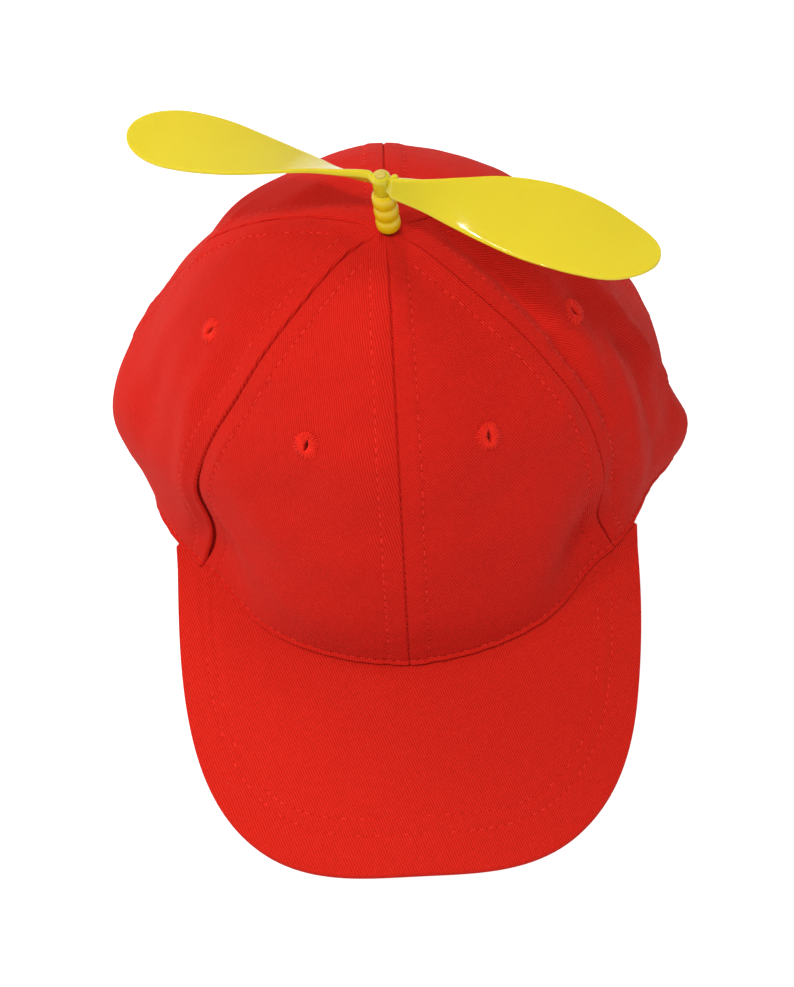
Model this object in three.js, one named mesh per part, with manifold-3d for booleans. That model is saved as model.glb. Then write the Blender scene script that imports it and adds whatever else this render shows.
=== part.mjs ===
// Propeller beanie: a red cotton cap in six panels with a visor, and a yellow propeller on a beaded stem.
// Millimetres, +Z up. The visor points along -Y, and left is -X, as seen from in front of the visor.
// The cap stands on its back rim and on the two front bends of the visor, all at z = 0.
import * as THREE from 'three';
import { mergeVertices } from 'three/addons/utils/BufferGeometryUtils.js';
import Module from 'manifold-3d';

// Crown
const CROWN_HEIGHT = 131.4; // floor to the apex of the cloth
const FRONT_REACH = 88; // apex axis to the rim, straight ahead
const SIDE_REACH = 88; // apex axis to the rim, to each side
const BACK_REACH = 97; // apex axis to the rim, straight back
const CLOTH = 1.6; // thickness of a panel, with its seam allowance
const SEAM_GAP = 0.3; // between neighbouring panels, and between a panel and what it touches
const APEX_HOLE = 2.8; // radius left open at the apex for the pin
const SIDE_SEAM = 115.6; // degrees round from the front to the seam behind the side panel

// Visor
const VISOR_REACH = 67.7; // how far it juts beyond the crown, on the middle line
const VISOR_HALF_WIDTH = 77.2;
const VISOR_THICKNESS = 2.2;
const VISOR_ARCH = 16.1; // rise of the middle line above the side edges
const VISOR_SLOPE = 13.1; // degrees that it falls towards its tip
const VISOR_CORNER = 67.2; // degrees round from the front to where it ends on the rim
const VISOR_SQUARENESS = 2.95; // exponent of the outline, 2 being an ellipse
const VISOR_TUCK = 3; // how far its inner edge reaches in under the crown's wall
const VISOR_ROUNDING = 0.7; // bevel of its outer edge
const RIM_LOWEST = 105; // degrees round from the front, where the rim comes down to the floor

// Vent eyelets, stitched in thread
const EYELET_RADIUS = 4.5;
const EYELET_NECK = 2.6; // radius of the sleeve through the cloth
const EYELET_LIP = 0.8; // thickness of the stitched ring on each face
const SLIT_LENGTH = 4;
const SLIT_WIDTH = 1.5;
const FACET_SAG = 0.24; // how far the panels' flat facets lie inside the smooth curve at an eyelet

// Stem, pin and propeller, all on one leaning axis
const STEM_SHIFT = 0.7; // foot of the axis, to the right of the apex
const LEAN_LEFT = 4.3; // degrees
const LEAN_FORWARD = 1.7; // degrees
const BEAD_COUNT = 3;
const BEAD_RADIUS = 3.9;
const BEAD_PITCH = 5.1;
const BEAD_WAIST = 3.2; // radius between two beads
const STEM_FOOT = 2.9; // radius of the stem's flat foot
const PIN_RADIUS = 1.2;
const PIN_CLEARANCE = 0.2;
const PIN_HEAD_RADIUS = 1.75;
const PIN_HEAD_HEIGHT = 1.1;
const PIN_DISC_RADIUS = 6; // the disc that holds the pin inside the crown
const PIN_DISC_THICKNESS = 1.2;
const HUB_RADIUS = 2.9;
const HUB_HEIGHT = 6.9;
const SPAN = 176; // tip to tip
const BLADE_YAW = -19.9; // degrees that the blades stand turned about the stem
const BLADE_CHORD = 27.8; // width of a blade at its widest
const BLADE_THICKNESS = 1.7;
const ROOT_THICKNESS = 3.1;

// Crown radius, as shares of the reach in that direction. One row for each 30 degrees from the front
// to the back, and seven levels from the rim to the apex.
const CROWN_RADIUS = [
  [1.004, 1.01, 0.958, 0.845, 0.656, 0.366, 0],
  [0.979, 0.96, 0.899, 0.784, 0.597, 0.322, 0],
  [0.97, 0.96, 0.905, 0.789, 0.593, 0.308, 0],
  [0.98, 1.025, 0.983, 0.857, 0.647, 0.362, 0],
  [1.042, 1.085, 1.066, 0.895, 0.7, 0.397, 0],
  [1.03, 1.026, 0.96, 0.865, 0.675, 0.381, 0],
  [0.995, 0.992, 0.945, 0.852, 0.689, 0.395, 0],
];
// Height of the seven levels, as shares of the crown height.
const CROWN_LEVEL = [0, 0.192, 0.396, 0.603, 0.798, 0.938, 1];
// Degrees round from the front to the seam between front and side panel, at the seven levels.
const SEAM_LEFT = [57.1, 57.1, 57.9, 55.9, 53.8, 56.1, 64.8];
const SEAM_RIGHT = [57.3, 55.4, 55.4, 56.4, 55.5, 54.9, 59.5];
// Folds of the slack cloth: side (-1 left, 1 right), degrees round, level 0 to 1, depth as a share of the
// side reach (outwards above 0), width in degrees and height as a share of the levels.
const FOLDS = [
  [-1, 52.7, 0.146, -0.12, 15.8, 0.161],
  [-1, 96.4, 0.257, 0.093, 13.5, 0.12],
  [1, 49.6, 0.135, -0.121, 12.8, 0.135],
  [1, 97, 0.053, 0.141, 12.6, 0.117],
];
// Eyelets: name, degrees round from the front, level 0 to 1.
const EYELETS = [
  ['front', 26.2, 0.585],
  ['side', 77.7, 0.637],
  ['back', 147, 0.53],
];
// Blade sections: distance out as a share of half the span, chord as a share of the widest, pitch in
// degrees, then how far the section's middle lies behind and above the radial line, as shares of the chord.
const BLADE = [
  [0.028, 0.21, 64, -0.055, 0],
  [0.04, 0.225, 63, -0.057, 0],
  [0.16, 0.351, 46, -0.072, -0.02],
  [0.28, 0.551, 30, -0.104, -0.014],
  [0.4, 0.768, 22, -0.118, -0.022],
  [0.52, 0.926, 16, -0.147, -0.04],
  [0.64, 1, 10.5, -0.19, -0.054],
  [0.76, 0.972, 5.5, -0.244, -0.09],
  [0.88, 0.802, 0, -0.3, -0.135],
  [0.955, 0.55, -3, -0.316, -0.142],
  [0.99, 0.28, -4, -0.32, -0.142],
  [1, 0.1, -4, -0.322, -0.141],
];
// Outline of one blade section: along the chord and across it, both from -0.5 to 0.5.
const BLADE_SECTION = [
  [0.5, 0.1], [0.46, 0.36], [0.3, 0.48], [0, 0.5], [-0.3, 0.48], [-0.46, 0.36],
  [-0.5, -0.1], [-0.46, -0.36], [-0.3, -0.48], [0, -0.5], [0.3, -0.48], [0.46, -0.36],
];

const PANEL_COLUMNS = 14;
const PANEL_ROWS = 14;
const VISOR_COLUMNS = 28;
const VISOR_ROWS = 7;
const ROUND = 20;
const EYELET_ROUND = 16;

const rad = THREE.MathUtils.degToRad;
const wasm = await Module();
wasm.setup();

const cloth = () => new THREE.MeshStandardMaterial({ color: 0xc9150f, roughness: 0.92, metalness: 0 });
const thread = () => new THREE.MeshStandardMaterial({ color: 0xd8251c, roughness: 0.8, metalness: 0 });
const plastic = () => new THREE.MeshStandardMaterial({ color: 0xe6cf2a, roughness: 0.3, metalness: 0 });
const pinPlastic = () => new THREE.MeshStandardMaterial({ color: 0xd9cc86, roughness: 0.35, metalness: 0 });

// A closed solid from the library's mesh form, and back.
function toSolid(geometry) {
  const bare = geometry.clone();
  bare.deleteAttribute('normal');
  bare.deleteAttribute('uv');
  const merged = mergeVertices(bare, 1e-4);
  const vertProperties = new Float32Array(merged.attributes.position.array);
  const triVerts = new Uint32Array(merged.index.array);
  return new wasm.Manifold(new wasm.Mesh({ numProp: 3, vertProperties, triVerts }));
}

function toGeometry(solid) {
  const mesh = solid.getMesh();
  const geometry = new THREE.BufferGeometry();
  geometry.setAttribute('position', new THREE.BufferAttribute(new Float32Array(mesh.vertProperties), 3));
  geometry.setIndex(new THREE.BufferAttribute(new Uint32Array(mesh.triVerts), 1));
  const flat = geometry.toNonIndexed();
  flat.computeVertexNormals();
  return flat;
}

// Smooth curve through a short table of evenly spaced values.
function between(a, b, c, d, t) {
  return b + 0.5 * t * (c - a + t * (2 * a - 5 * b + 4 * c - d + t * (3 * (b - c) + d - a)));
}

function curve(values, share, before, after) {
  const place = Math.min(Math.max(share, 0), 1) * (values.length - 1);
  const k = Math.min(Math.floor(place), values.length - 2);
  const a = k > 0 ? values[k - 1] : before;
  const d = k < values.length - 2 ? values[k + 2] : after;
  return between(a, values[k], values[k + 1], d, place - k);
}

// Reach from the apex axis to the rim at an angle round from the front.
function reach(angle) {
  const ahead = Math.cos(rad(angle));
  const aside = Math.sin(rad(angle));
  const lengthwise = ahead >= 0 ? FRONT_REACH : BACK_REACH;
  return 1 / Math.hypot(ahead / lengthwise, aside / SIDE_REACH);
}

function rowRadius(row, level) {
  const mirrored = Math.abs(row) > 6 ? 12 - Math.abs(row) : Math.abs(row);
  const values = CROWN_RADIUS[mirrored].map((share) => share * reach(30 * mirrored));
  return curve(values, level, 2 * values[0] - values[1], -values[5]);
}

function crownRadius(angle, level) {
  const place = Math.abs(angle) / 30;
  const k = Math.min(Math.floor(place), 5);
  let radius = between(rowRadius(k - 1, level), rowRadius(k, level), rowRadius(k + 1, level),
    rowRadius(k + 2, level), place - k);
  for (const [side, at, height, depth, width, tall] of FOLDS) {
    const round = (angle - side * at) / width;
    const up = (level - height) / tall;
    radius += depth * SIDE_REACH * Math.exp(-round * round - up * up) * Math.min(1, (1 - level) * 4);
  }
  return radius;
}

function rimPoint(angle, depth) {
  const step = 0.5;
  const at = (a) => new THREE.Vector2(Math.sin(rad(a)), -Math.cos(rad(a))).multiplyScalar(crownRadius(a, 0));
  const along = at(angle + step).sub(at(angle - step)).normalize();
  return at(angle).add(new THREE.Vector2(-along.y, along.x).multiplyScalar(depth));
}

// The visor's outer edge, from its left corner at -1 to its right corner at 1.
const visorCornerY = rimPoint(VISOR_CORNER, 0).y;
const visorTipY = -(crownRadius(0, 0) + VISOR_REACH);
function visorEdge(across, inset) {
  const turn = across * Math.PI / 2;
  const wide = Math.sign(across) * Math.abs(Math.sin(turn)) ** (2 / VISOR_SQUARENESS);
  const long = Math.abs(Math.cos(turn)) ** (2 / VISOR_SQUARENESS);
  const ahead = visorTipY + inset - visorCornerY;
  return new THREE.Vector2((VISOR_HALF_WIDTH - inset) * wide, visorCornerY + ahead * long);
}

// The visor's top face is an arch that slopes down ahead. It stands on the lowest points of its edge.
function archHeight(x, y) {
  return VISOR_ARCH * (1 - (x / VISOR_HALF_WIDTH) ** 2) + Math.tan(rad(VISOR_SLOPE)) * y;
}
let lowestArch = Infinity;
for (let k = 0; k <= VISOR_COLUMNS; k += 1) {
  const edge = visorEdge(2 * k / VISOR_COLUMNS - 1, VISOR_ROUNDING);
  lowestArch = Math.min(lowestArch, archHeight(edge.x, edge.y));
}
const visorTop = (x, y) => archHeight(x, y) - lowestArch + VISOR_THICKNESS;

// Height of the crown's bottom edge: on the visor in front, and down to the floor behind its corners.
function rimHeight(angle, depth) {
  const start = VISOR_CORNER + 2;
  const t = THREE.MathUtils.clamp((Math.abs(angle) - start) / (RIM_LOWEST - start), 0, 1);
  const kept = Math.sign(angle) * Math.min(Math.abs(angle), VISOR_CORNER);
  const point = rimPoint(kept, depth);
  return (visorTop(point.x, point.y) + SEAM_GAP) * (1 - t * t * (3 - 2 * t));
}

function crownPoint(angle, level) {
  const radius = crownRadius(angle, level);
  const up = CROWN_HEIGHT * curve(CROWN_LEVEL, level, -CROWN_LEVEL[1], CROWN_LEVEL[5]);
  const z = up + rimHeight(angle, 0) * (1 - level) ** 2;
  return new THREE.Vector3(radius * Math.sin(rad(angle)), -radius * Math.cos(rad(angle)), z);
}

function crownNormal(angle, level) {
  const low = Math.max(level - 0.01, 0);
  const high = Math.min(level + 0.01, 0.995);
  const round = crownPoint(angle + 1, level).sub(crownPoint(angle - 1, level));
  const up = crownPoint(angle, high).sub(crownPoint(angle, low));
  return round.cross(up).normalize();
}

// A closed sheet from two grids of points with the same rows and columns.
function sheetSolid(outer, inner) {
  const rows = outer.length;
  const columns = outer[0].length;
  const positions = [...outer.flat(), ...inner.flat()].flatMap((p) => [p.x, p.y, p.z]);
  const face = [];
  const at = (side, row, column) => side * rows * columns + row * columns + column;
  const quad = (a, b, c, d) => face.push(a, b, c, a, c, d);
  for (let i = 0; i < rows - 1; i += 1) {
    for (let j = 0; j < columns - 1; j += 1) {
      quad(at(0, i, j), at(0, i, j + 1), at(0, i + 1, j + 1), at(0, i + 1, j));
      quad(at(1, i, j), at(1, i + 1, j), at(1, i + 1, j + 1), at(1, i, j + 1));
    }
    quad(at(0, i, 0), at(0, i + 1, 0), at(1, i + 1, 0), at(1, i, 0));
    quad(at(0, i + 1, columns - 1), at(0, i, columns - 1), at(1, i, columns - 1), at(1, i + 1, columns - 1));
  }
  for (let j = 0; j < columns - 1; j += 1) {
    quad(at(0, 0, j + 1), at(0, 0, j), at(1, 0, j), at(1, 0, j + 1));
    quad(at(0, rows - 1, j), at(0, rows - 1, j + 1), at(1, rows - 1, j + 1), at(1, rows - 1, j));
  }
  const geometry = new THREE.BufferGeometry();
  geometry.setAttribute('position', new THREE.Float32BufferAttribute(positions, 3));
  geometry.setIndex(face);
  return geometry;
}

// Level at which a meridian comes within a radius of the apex axis.
function levelAtRadius(angle, radius) {
  let low = 0.9;
  let high = 1;
  for (let k = 0; k < 30; k += 1) {
    const middle = (low + high) / 2;
    if (crownRadius(angle, middle) > radius) low = middle;
    else high = middle;
  }
  return low;
}

const seams = {
  middleFront: () => 0,
  leftFront: (level) => -curve(SEAM_LEFT, level, 2 * SEAM_LEFT[0] - SEAM_LEFT[1], SEAM_LEFT[6]),
  rightFront: (level) => curve(SEAM_RIGHT, level, 2 * SEAM_RIGHT[0] - SEAM_RIGHT[1], SEAM_RIGHT[6]),
  leftBack: () => -SIDE_SEAM,
  rightBack: () => SIDE_SEAM,
  middleBackLeft: () => -180,
  middleBackRight: () => 180,
};

// One panel between two seams, less its eyelet hole.
function panelGeometry(fromSeam, toSeam, eyelet) {
  const outer = [];
  const inner = [];
  for (let i = 0; i <= PANEL_ROWS; i += 1) {
    const outerRow = [];
    const innerRow = [];
    for (let j = 0; j <= PANEL_COLUMNS; j += 1) {
      const share = j / PANEL_COLUMNS;
      const middle = THREE.MathUtils.lerp(fromSeam(1), toSeam(1), 0.5);
      const top = levelAtRadius(middle, APEX_HOLE);
      const level = top * i / PANEL_ROWS;
      const a = fromSeam(level);
      const b = toSeam(level);
      const back = THREE.MathUtils.radToDeg(SEAM_GAP / 2 / crownRadius(THREE.MathUtils.lerp(a, b, share), level));
      const angle = THREE.MathUtils.lerp(a + back, b - back, share);
      const point = crownPoint(angle, level);
      outerRow.push(point);
      if (i > 0) {
        innerRow.push(point.clone().addScaledVector(crownNormal(angle, level), -CLOTH));
      } else {
        const rim = rimPoint(angle, CLOTH);
        innerRow.push(new THREE.Vector3(rim.x, rim.y, rimHeight(angle, CLOTH)));
      }
    }
    outer.push(outerRow);
    inner.push(innerRow);
  }
  const hole = new THREE.CylinderGeometry(EYELET_NECK + SEAM_GAP, EYELET_NECK + SEAM_GAP, 8 * CLOTH, EYELET_ROUND);
  hole.rotateX(Math.PI / 2);
  hole.applyMatrix4(eyelet);
  return toGeometry(toSolid(sheetSolid(outer, inner)).subtract(toSolid(hole)));
}

// Where an eyelet sits: local +Z out of the cloth and local +Y up along the panel.
function eyeletPlace(side, angle, level) {
  const out = crownNormal(side * angle, level);
  const up = crownPoint(side * angle, level + 0.02).sub(crownPoint(side * angle, level - 0.02)).normalize();
  const across = up.clone().cross(out).normalize();
  const matrix = new THREE.Matrix4().makeBasis(across, out.clone().cross(across), out);
  return matrix.setPosition(crownPoint(side * angle, level));
}

// A stitched ring on both faces of the cloth, with a pointed slit through its middle.
function eyeletGeometry() {
  const lower = -CLOTH - SEAM_GAP - FACET_SAG;
  const slit = (turn) => {
    const aside = Math.abs(Math.cos(turn) / (SLIT_WIDTH / 2)) ** 1.5;
    const up = Math.abs(Math.sin(turn) / (SLIT_LENGTH / 2)) ** 1.5;
    return (aside + up) ** (-1 / 1.5);
  };
  const profile = [
    [0, SEAM_GAP + EYELET_LIP * 0.5], [0.3, SEAM_GAP + EYELET_LIP], [0.75, SEAM_GAP + EYELET_LIP * 0.85],
    [1, SEAM_GAP + EYELET_LIP * 0.25], [0.96, SEAM_GAP], ['neck', SEAM_GAP], ['neck', lower],
    [0.9, lower], [0.9, lower - EYELET_LIP * 0.5], [0.3, lower - EYELET_LIP], [0, lower - EYELET_LIP * 0.5],
  ];
  const positions = [];
  const face = [];
  const n = profile.length;
  for (let i = 0; i < EYELET_ROUND; i += 1) {
    const turn = 2 * Math.PI * i / EYELET_ROUND;
    for (const [share, z] of profile) {
      const radius = share === 'neck' ? EYELET_NECK : THREE.MathUtils.lerp(slit(turn), EYELET_RADIUS, share);
      positions.push(radius * Math.cos(turn), radius * Math.sin(turn), z);
    }
    const next = ((i + 1) % EYELET_ROUND) * n;
    for (let j = 0; j < n; j += 1) {
      const k = (j + 1) % n;
      face.push(i * n + j, i * n + k, next + j, i * n + k, next + k, next + j);
    }
  }
  const geometry = new THREE.BufferGeometry();
  geometry.setAttribute('position', new THREE.Float32BufferAttribute(positions, 3));
  geometry.setIndex(face);
  return geometry;
}

// The visor, a board of even thickness whose inner edge lies under the crown's wall.
function visorGeometry() {
  const top = [];
  const bottom = [];
  for (let i = 0; i <= VISOR_ROWS + 1; i += 1) {
    const topRow = [];
    const bottomRow = [];
    for (let j = 0; j <= VISOR_COLUMNS; j += 1) {
      const across = 2 * j / VISOR_COLUMNS - 1;
      const inside = rimPoint(across * VISOR_CORNER, VISOR_TUCK);
      const edge = visorEdge(across, i > VISOR_ROWS ? 0 : VISOR_ROUNDING);
      const out = Math.min(i / VISOR_ROWS, 1);
      const point = inside.lerp(edge, out);
      const bevel = i > VISOR_ROWS ? VISOR_THICKNESS * 0.35 : 0;
      topRow.push(new THREE.Vector3(point.x, point.y, visorTop(point.x, point.y) - bevel));
      const under = visorTop(point.x, point.y) - VISOR_THICKNESS + bevel;
      bottomRow.push(new THREE.Vector3(point.x, point.y, under));
    }
    top.push(topRow);
    bottom.push(bottomRow);
  }
  return sheetSolid(bottom, top);
}

// The beaded stem, a moulded tube with its foot on the crown.
const boreRadius = PIN_RADIUS + PIN_CLEARANCE;
const footLift = SEAM_GAP + STEM_FOOT * Math.sin(rad(LEAN_LEFT));
const beadTop = footLift + (BEAD_COUNT - 0.5) * BEAD_PITCH + BEAD_PITCH * 0.72;
function stemGeometry() {
  const profile = [new THREE.Vector2(boreRadius, footLift), new THREE.Vector2(STEM_FOOT, footLift)];
  for (let bead = 0; bead < BEAD_COUNT; bead += 1) {
    const centre = footLift + (bead + 0.62) * BEAD_PITCH;
    const swell = BEAD_RADIUS - BEAD_WAIST;
    for (const [up, out] of [[-0.36, 0.55], [-0.18, 0.9], [0, 1], [0.18, 0.9], [0.36, 0.55]]) {
      profile.push(new THREE.Vector2(BEAD_WAIST + swell * out, centre + up * BEAD_PITCH));
    }
    if (bead < BEAD_COUNT - 1) profile.push(new THREE.Vector2(BEAD_WAIST, centre + BEAD_PITCH / 2));
  }
  profile.push(new THREE.Vector2(HUB_RADIUS * 0.9, beadTop), new THREE.Vector2(boreRadius, beadTop));
  profile.push(profile[0].clone());
  return new THREE.LatheGeometry(profile, ROUND).rotateX(Math.PI / 2);
}

// The pin: a disc inside the crown, a shaft through stem and hub, and a head sunk in the hub's top.
const hubBottom = beadTop + SEAM_GAP;
const hubTop = hubBottom + HUB_HEIGHT;
const headSeat = hubTop - PIN_HEAD_HEIGHT + SEAM_GAP;
const discSag = PIN_DISC_RADIUS * Math.sin(rad(LEAN_LEFT + LEAN_FORWARD)) + PIN_DISC_RADIUS ** 2 / 100;
const discTop = -CLOTH - SEAM_GAP - discSag;
function pinGeometry() {
  const discBottom = discTop - PIN_DISC_THICKNESS;
  const profile = [
    [0, discBottom], [PIN_DISC_RADIUS - 0.3, discBottom], [PIN_DISC_RADIUS, discBottom + 0.3],
    [PIN_DISC_RADIUS, discTop], [PIN_RADIUS, discTop], [PIN_RADIUS, headSeat],
    [PIN_HEAD_RADIUS, headSeat], [PIN_HEAD_RADIUS, headSeat + PIN_HEAD_HEIGHT * 0.7],
    [PIN_HEAD_RADIUS * 0.7, headSeat + PIN_HEAD_HEIGHT], [0, headSeat + PIN_HEAD_HEIGHT * 1.1],
  ];
  const points = profile.map(([radius, z]) => new THREE.Vector2(radius, z));
  return new THREE.LatheGeometry(points, ROUND).rotateX(Math.PI / 2);
}

// One blade as a stack of twisted sections, from inside the hub's wall to the tip.
function bladeGeometry() {
  const positions = [];
  const face = [];
  const n = BLADE_SECTION.length;
  BLADE.forEach(([out, chordShare, pitch, behind, above], index) => {
    const chord = chordShare * BLADE_CHORD;
    const thin = THREE.MathUtils.smoothstep(out, 0.03, 0.35);
    const tip = out > 0.95 ? 0.7 : 1;
    const thickness = THREE.MathUtils.lerp(ROOT_THICKNESS, BLADE_THICKNESS, thin) * tip;
    for (const [along, across] of BLADE_SECTION) {
      const c = Math.cos(rad(pitch));
      const s = Math.sin(rad(pitch));
      const y = behind * BLADE_CHORD + along * chord * c - across * thickness * s;
      const z = above * BLADE_CHORD + along * chord * s + across * thickness * c;
      positions.push(out * SPAN / 2, y, z);
    }
    if (index === 0) return;
    for (let j = 0; j < n; j += 1) {
      const k = (j + 1) % n;
      const a = (index - 1) * n;
      const b = index * n;
      face.push(a + j, a + k, b + j, a + k, b + k, b + j);
    }
  });
  const last = (BLADE.length - 1) * n;
  for (let j = 1; j < n - 1; j += 1) {
    face.push(0, j + 1, j);
    face.push(last, last + j, last + j + 1);
  }
  const geometry = new THREE.BufferGeometry();
  geometry.setAttribute('position', new THREE.Float32BufferAttribute(positions, 3));
  geometry.setIndex(face);
  return geometry;
}

// Hub and both blades as one moulding, bored for the pin and its head.
function propellerGeometry() {
  const middle = HUB_HEIGHT / 2;
  const recess = PIN_HEAD_RADIUS + PIN_CLEARANCE;
  const seat = headSeat - hubBottom - SEAM_GAP;
  const profile = [
    [boreRadius, 0], [HUB_RADIUS - 0.4, 0], [HUB_RADIUS, 0.4], [HUB_RADIUS, HUB_HEIGHT - 1.2],
    [HUB_RADIUS * 0.92, HUB_HEIGHT - 0.5], [recess + 0.3, HUB_HEIGHT], [recess, HUB_HEIGHT],
    [recess, seat], [boreRadius, seat], [boreRadius, 0],
  ];
  const points = profile.map(([radius, z]) => new THREE.Vector2(radius, z));
  const hub = new THREE.LatheGeometry(points, ROUND).rotateX(Math.PI / 2);
  let solid = toSolid(hub);
  for (const turn of [0, Math.PI]) {
    const blade = bladeGeometry().rotateZ(turn + rad(BLADE_YAW)).translate(0, 0, middle);
    solid = solid.add(toSolid(blade));
  }
  return toGeometry(solid);
}

// The assembly
const beanie = new THREE.Group();
function place(name, geometry, material, parent) {
  const mesh = new THREE.Mesh(geometry, material);
  mesh.name = name;
  parent.add(mesh);
  return mesh;
}

const panelSeams = {
  panel_front_left: [seams.leftFront, seams.middleFront],
  panel_front_right: [seams.middleFront, seams.rightFront],
  panel_side_left: [seams.leftBack, seams.leftFront],
  panel_side_right: [seams.rightFront, seams.rightBack],
  panel_back_left: [seams.middleBackLeft, seams.leftBack],
  panel_back_right: [seams.rightBack, seams.middleBackRight],
};
for (const [where, angle, level] of EYELETS) {
  for (const [hand, side] of [['left', -1], ['right', 1]]) {
    const spot = eyeletPlace(side, angle, level);
    const [from, to] = panelSeams[`panel_${where}_${hand}`];
    place(`panel_${where}_${hand}`, panelGeometry(from, to, spot), cloth(), beanie);
    const eyelet = place(`eyelet_${where}_${hand}`, eyeletGeometry(), thread(), beanie);
    spot.decompose(eyelet.position, eyelet.quaternion, eyelet.scale);
  }
}
place('visor', visorGeometry(), cloth(), beanie);

const mast = new THREE.Group();
mast.position.set(STEM_SHIFT, 0, CROWN_HEIGHT);
const lean = new THREE.Vector3(-Math.tan(rad(LEAN_LEFT)), -Math.tan(rad(LEAN_FORWARD)), 1).normalize();
mast.quaternion.setFromUnitVectors(new THREE.Vector3(0, 0, 1), lean);
beanie.add(mast);
place('stem', stemGeometry(), plastic(), mast);
place('axle', pinGeometry(), pinPlastic(), mast);
const propeller = place('propeller', propellerGeometry(), plastic(), mast);
propeller.position.z = hubBottom;

// The origin goes to the middle of the bounding box, at its base.
beanie.updateMatrixWorld(true);
const box = new THREE.Box3().setFromObject(beanie, true);
beanie.position.set(-(box.min.x + box.max.x) / 2, -(box.min.y + box.max.y) / 2, -box.min.z);
beanie.updateMatrixWorld(true);

export default beanie;
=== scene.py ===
# %% [markdown]
# # A propeller beanie, dressed for its portrait
# The solids already have every size: six panels, a visor, six eyelets, a beaded stem, its pin and the
# propeller. This lesson lays fine surfaces where those solids are. Cloth gets seams, folds, stitches
# and a twill weave, and plastic gets smooth curves and gloss. All lengths in the tables are in
# millimetres, because that is how a hat maker thinks, and each mesh is made in metres.

# %% Load the frame
import math

import bpy
import numpy as np
from mathutils import Matrix, Vector


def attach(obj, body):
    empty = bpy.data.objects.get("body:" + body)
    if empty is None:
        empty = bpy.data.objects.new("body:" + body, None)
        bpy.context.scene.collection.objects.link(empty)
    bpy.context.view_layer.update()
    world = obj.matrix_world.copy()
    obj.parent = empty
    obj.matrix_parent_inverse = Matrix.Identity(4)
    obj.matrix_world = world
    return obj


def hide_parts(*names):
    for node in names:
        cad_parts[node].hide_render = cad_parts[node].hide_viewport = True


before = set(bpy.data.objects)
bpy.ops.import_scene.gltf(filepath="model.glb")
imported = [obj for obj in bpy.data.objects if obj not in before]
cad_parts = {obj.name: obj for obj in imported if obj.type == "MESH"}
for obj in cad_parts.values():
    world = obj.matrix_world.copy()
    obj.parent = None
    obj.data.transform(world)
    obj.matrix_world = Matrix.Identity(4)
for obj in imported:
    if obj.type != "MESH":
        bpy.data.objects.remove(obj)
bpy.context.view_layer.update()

# %% [markdown]
# ## The camera
# The photograph looks down on the cap at about 51 degrees, nearly square to its front. The camera is
# described the way a photographer would: a point to aim at, a distance, a height angle, and a small
# roll. The last two values slide the aim a little, so that the cap sits where it does in the picture.

# %% Camera
MM = 0.001
SEAM_AXIS = np.array([-1.452, 29.720, 0.0])  # plan position of the crown's own axis

AIM = Vector((-1.452, -0.28, 52.16)) * MM
DISTANCE = 724.4 * MM
ELEVATION = math.radians(51.35)
AZIMUTH = math.radians(0.454)
ROLL = math.radians(3.27)
FOCAL_PIXELS = 2202.0
FRAME_HEIGHT = 987
PAN = math.atan2(-4.5, FOCAL_PIXELS)
TILT = math.atan2(-28.1, FOCAL_PIXELS)


def add_camera():
    """A camera that stands off from the aim and looks back at it."""
    back = Vector((math.sin(AZIMUTH) * math.cos(ELEVATION),
                   -math.cos(AZIMUTH) * math.cos(ELEVATION),
                   math.sin(ELEVATION)))
    right = Vector((math.cos(AZIMUTH), math.sin(AZIMUTH), 0.0))
    up = back.cross(right)
    place = AIM + back * DISTANCE
    side = right * math.cos(PAN) + back * math.sin(PAN)
    turned = back * math.cos(PAN) - right * math.sin(PAN)
    top = up * math.cos(TILT) + turned * math.sin(TILT)
    behind = turned * math.cos(TILT) - up * math.sin(TILT)
    x_axis = side * math.cos(ROLL) - top * math.sin(ROLL)
    y_axis = side * math.sin(ROLL) + top * math.cos(ROLL)
    data = bpy.data.cameras.new("camera")
    data.lens = FOCAL_PIXELS / FRAME_HEIGHT * data.sensor_width
    data.clip_start = 0.01
    camera = bpy.data.objects.new("camera", data)
    turn = Matrix((x_axis, y_axis, behind)).transposed().to_4x4()
    camera.matrix_world = Matrix.Translation(place) @ turn
    bpy.context.collection.objects.link(camera)
    bpy.context.scene.camera = camera
    return camera


camera = add_camera()
print("camera at", [round(v, 3) for v in camera.location], "lens", round(camera.data.lens, 1))

# %% [markdown]
# ## Small helpers
# An operator acts on whatever is selected, so each piece starts by clearing the selection. Most pieces
# here begin as a grid primitive whose points are then laid on rows of places, which is how a pattern
# cutter pins cloth to a block. Turned parts begin as one point that is extruded along a profile and
# spun round.


# %% Selecting and finishing
def only(piece):
    """Selects one piece and nothing else."""
    bpy.ops.object.select_all(action="DESELECT")
    piece.select_set(True)
    bpy.context.view_layer.objects.active = piece


def named(piece, name):
    piece.name = name
    piece.data.name = name
    return piece


def apply_modifier(piece, kind, **values):
    """Adds one modifier, sets it and makes it real."""
    only(piece)
    modifier = piece.modifiers.new(kind.lower(), kind)
    for key, value in values.items():
        setattr(modifier, key, value)
    bpy.ops.object.modifier_apply(modifier=modifier.name)


def in_edit(piece, *steps):
    """Runs edit-mode steps on everything in a piece."""
    only(piece)
    bpy.ops.object.mode_set(mode="EDIT")
    bpy.ops.mesh.select_all(action="SELECT")
    for step in steps:
        step()
    bpy.ops.object.mode_set(mode="OBJECT")


def merge_and_turn_out(piece, distance=1e-6):
    in_edit(piece,
            lambda: bpy.ops.mesh.remove_doubles(threshold=distance),
            lambda: bpy.ops.mesh.normals_make_consistent(inside=False))


def smooth(piece, degrees=40):
    only(piece)
    bpy.ops.object.shade_smooth_by_angle(angle=math.radians(degrees))


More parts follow.
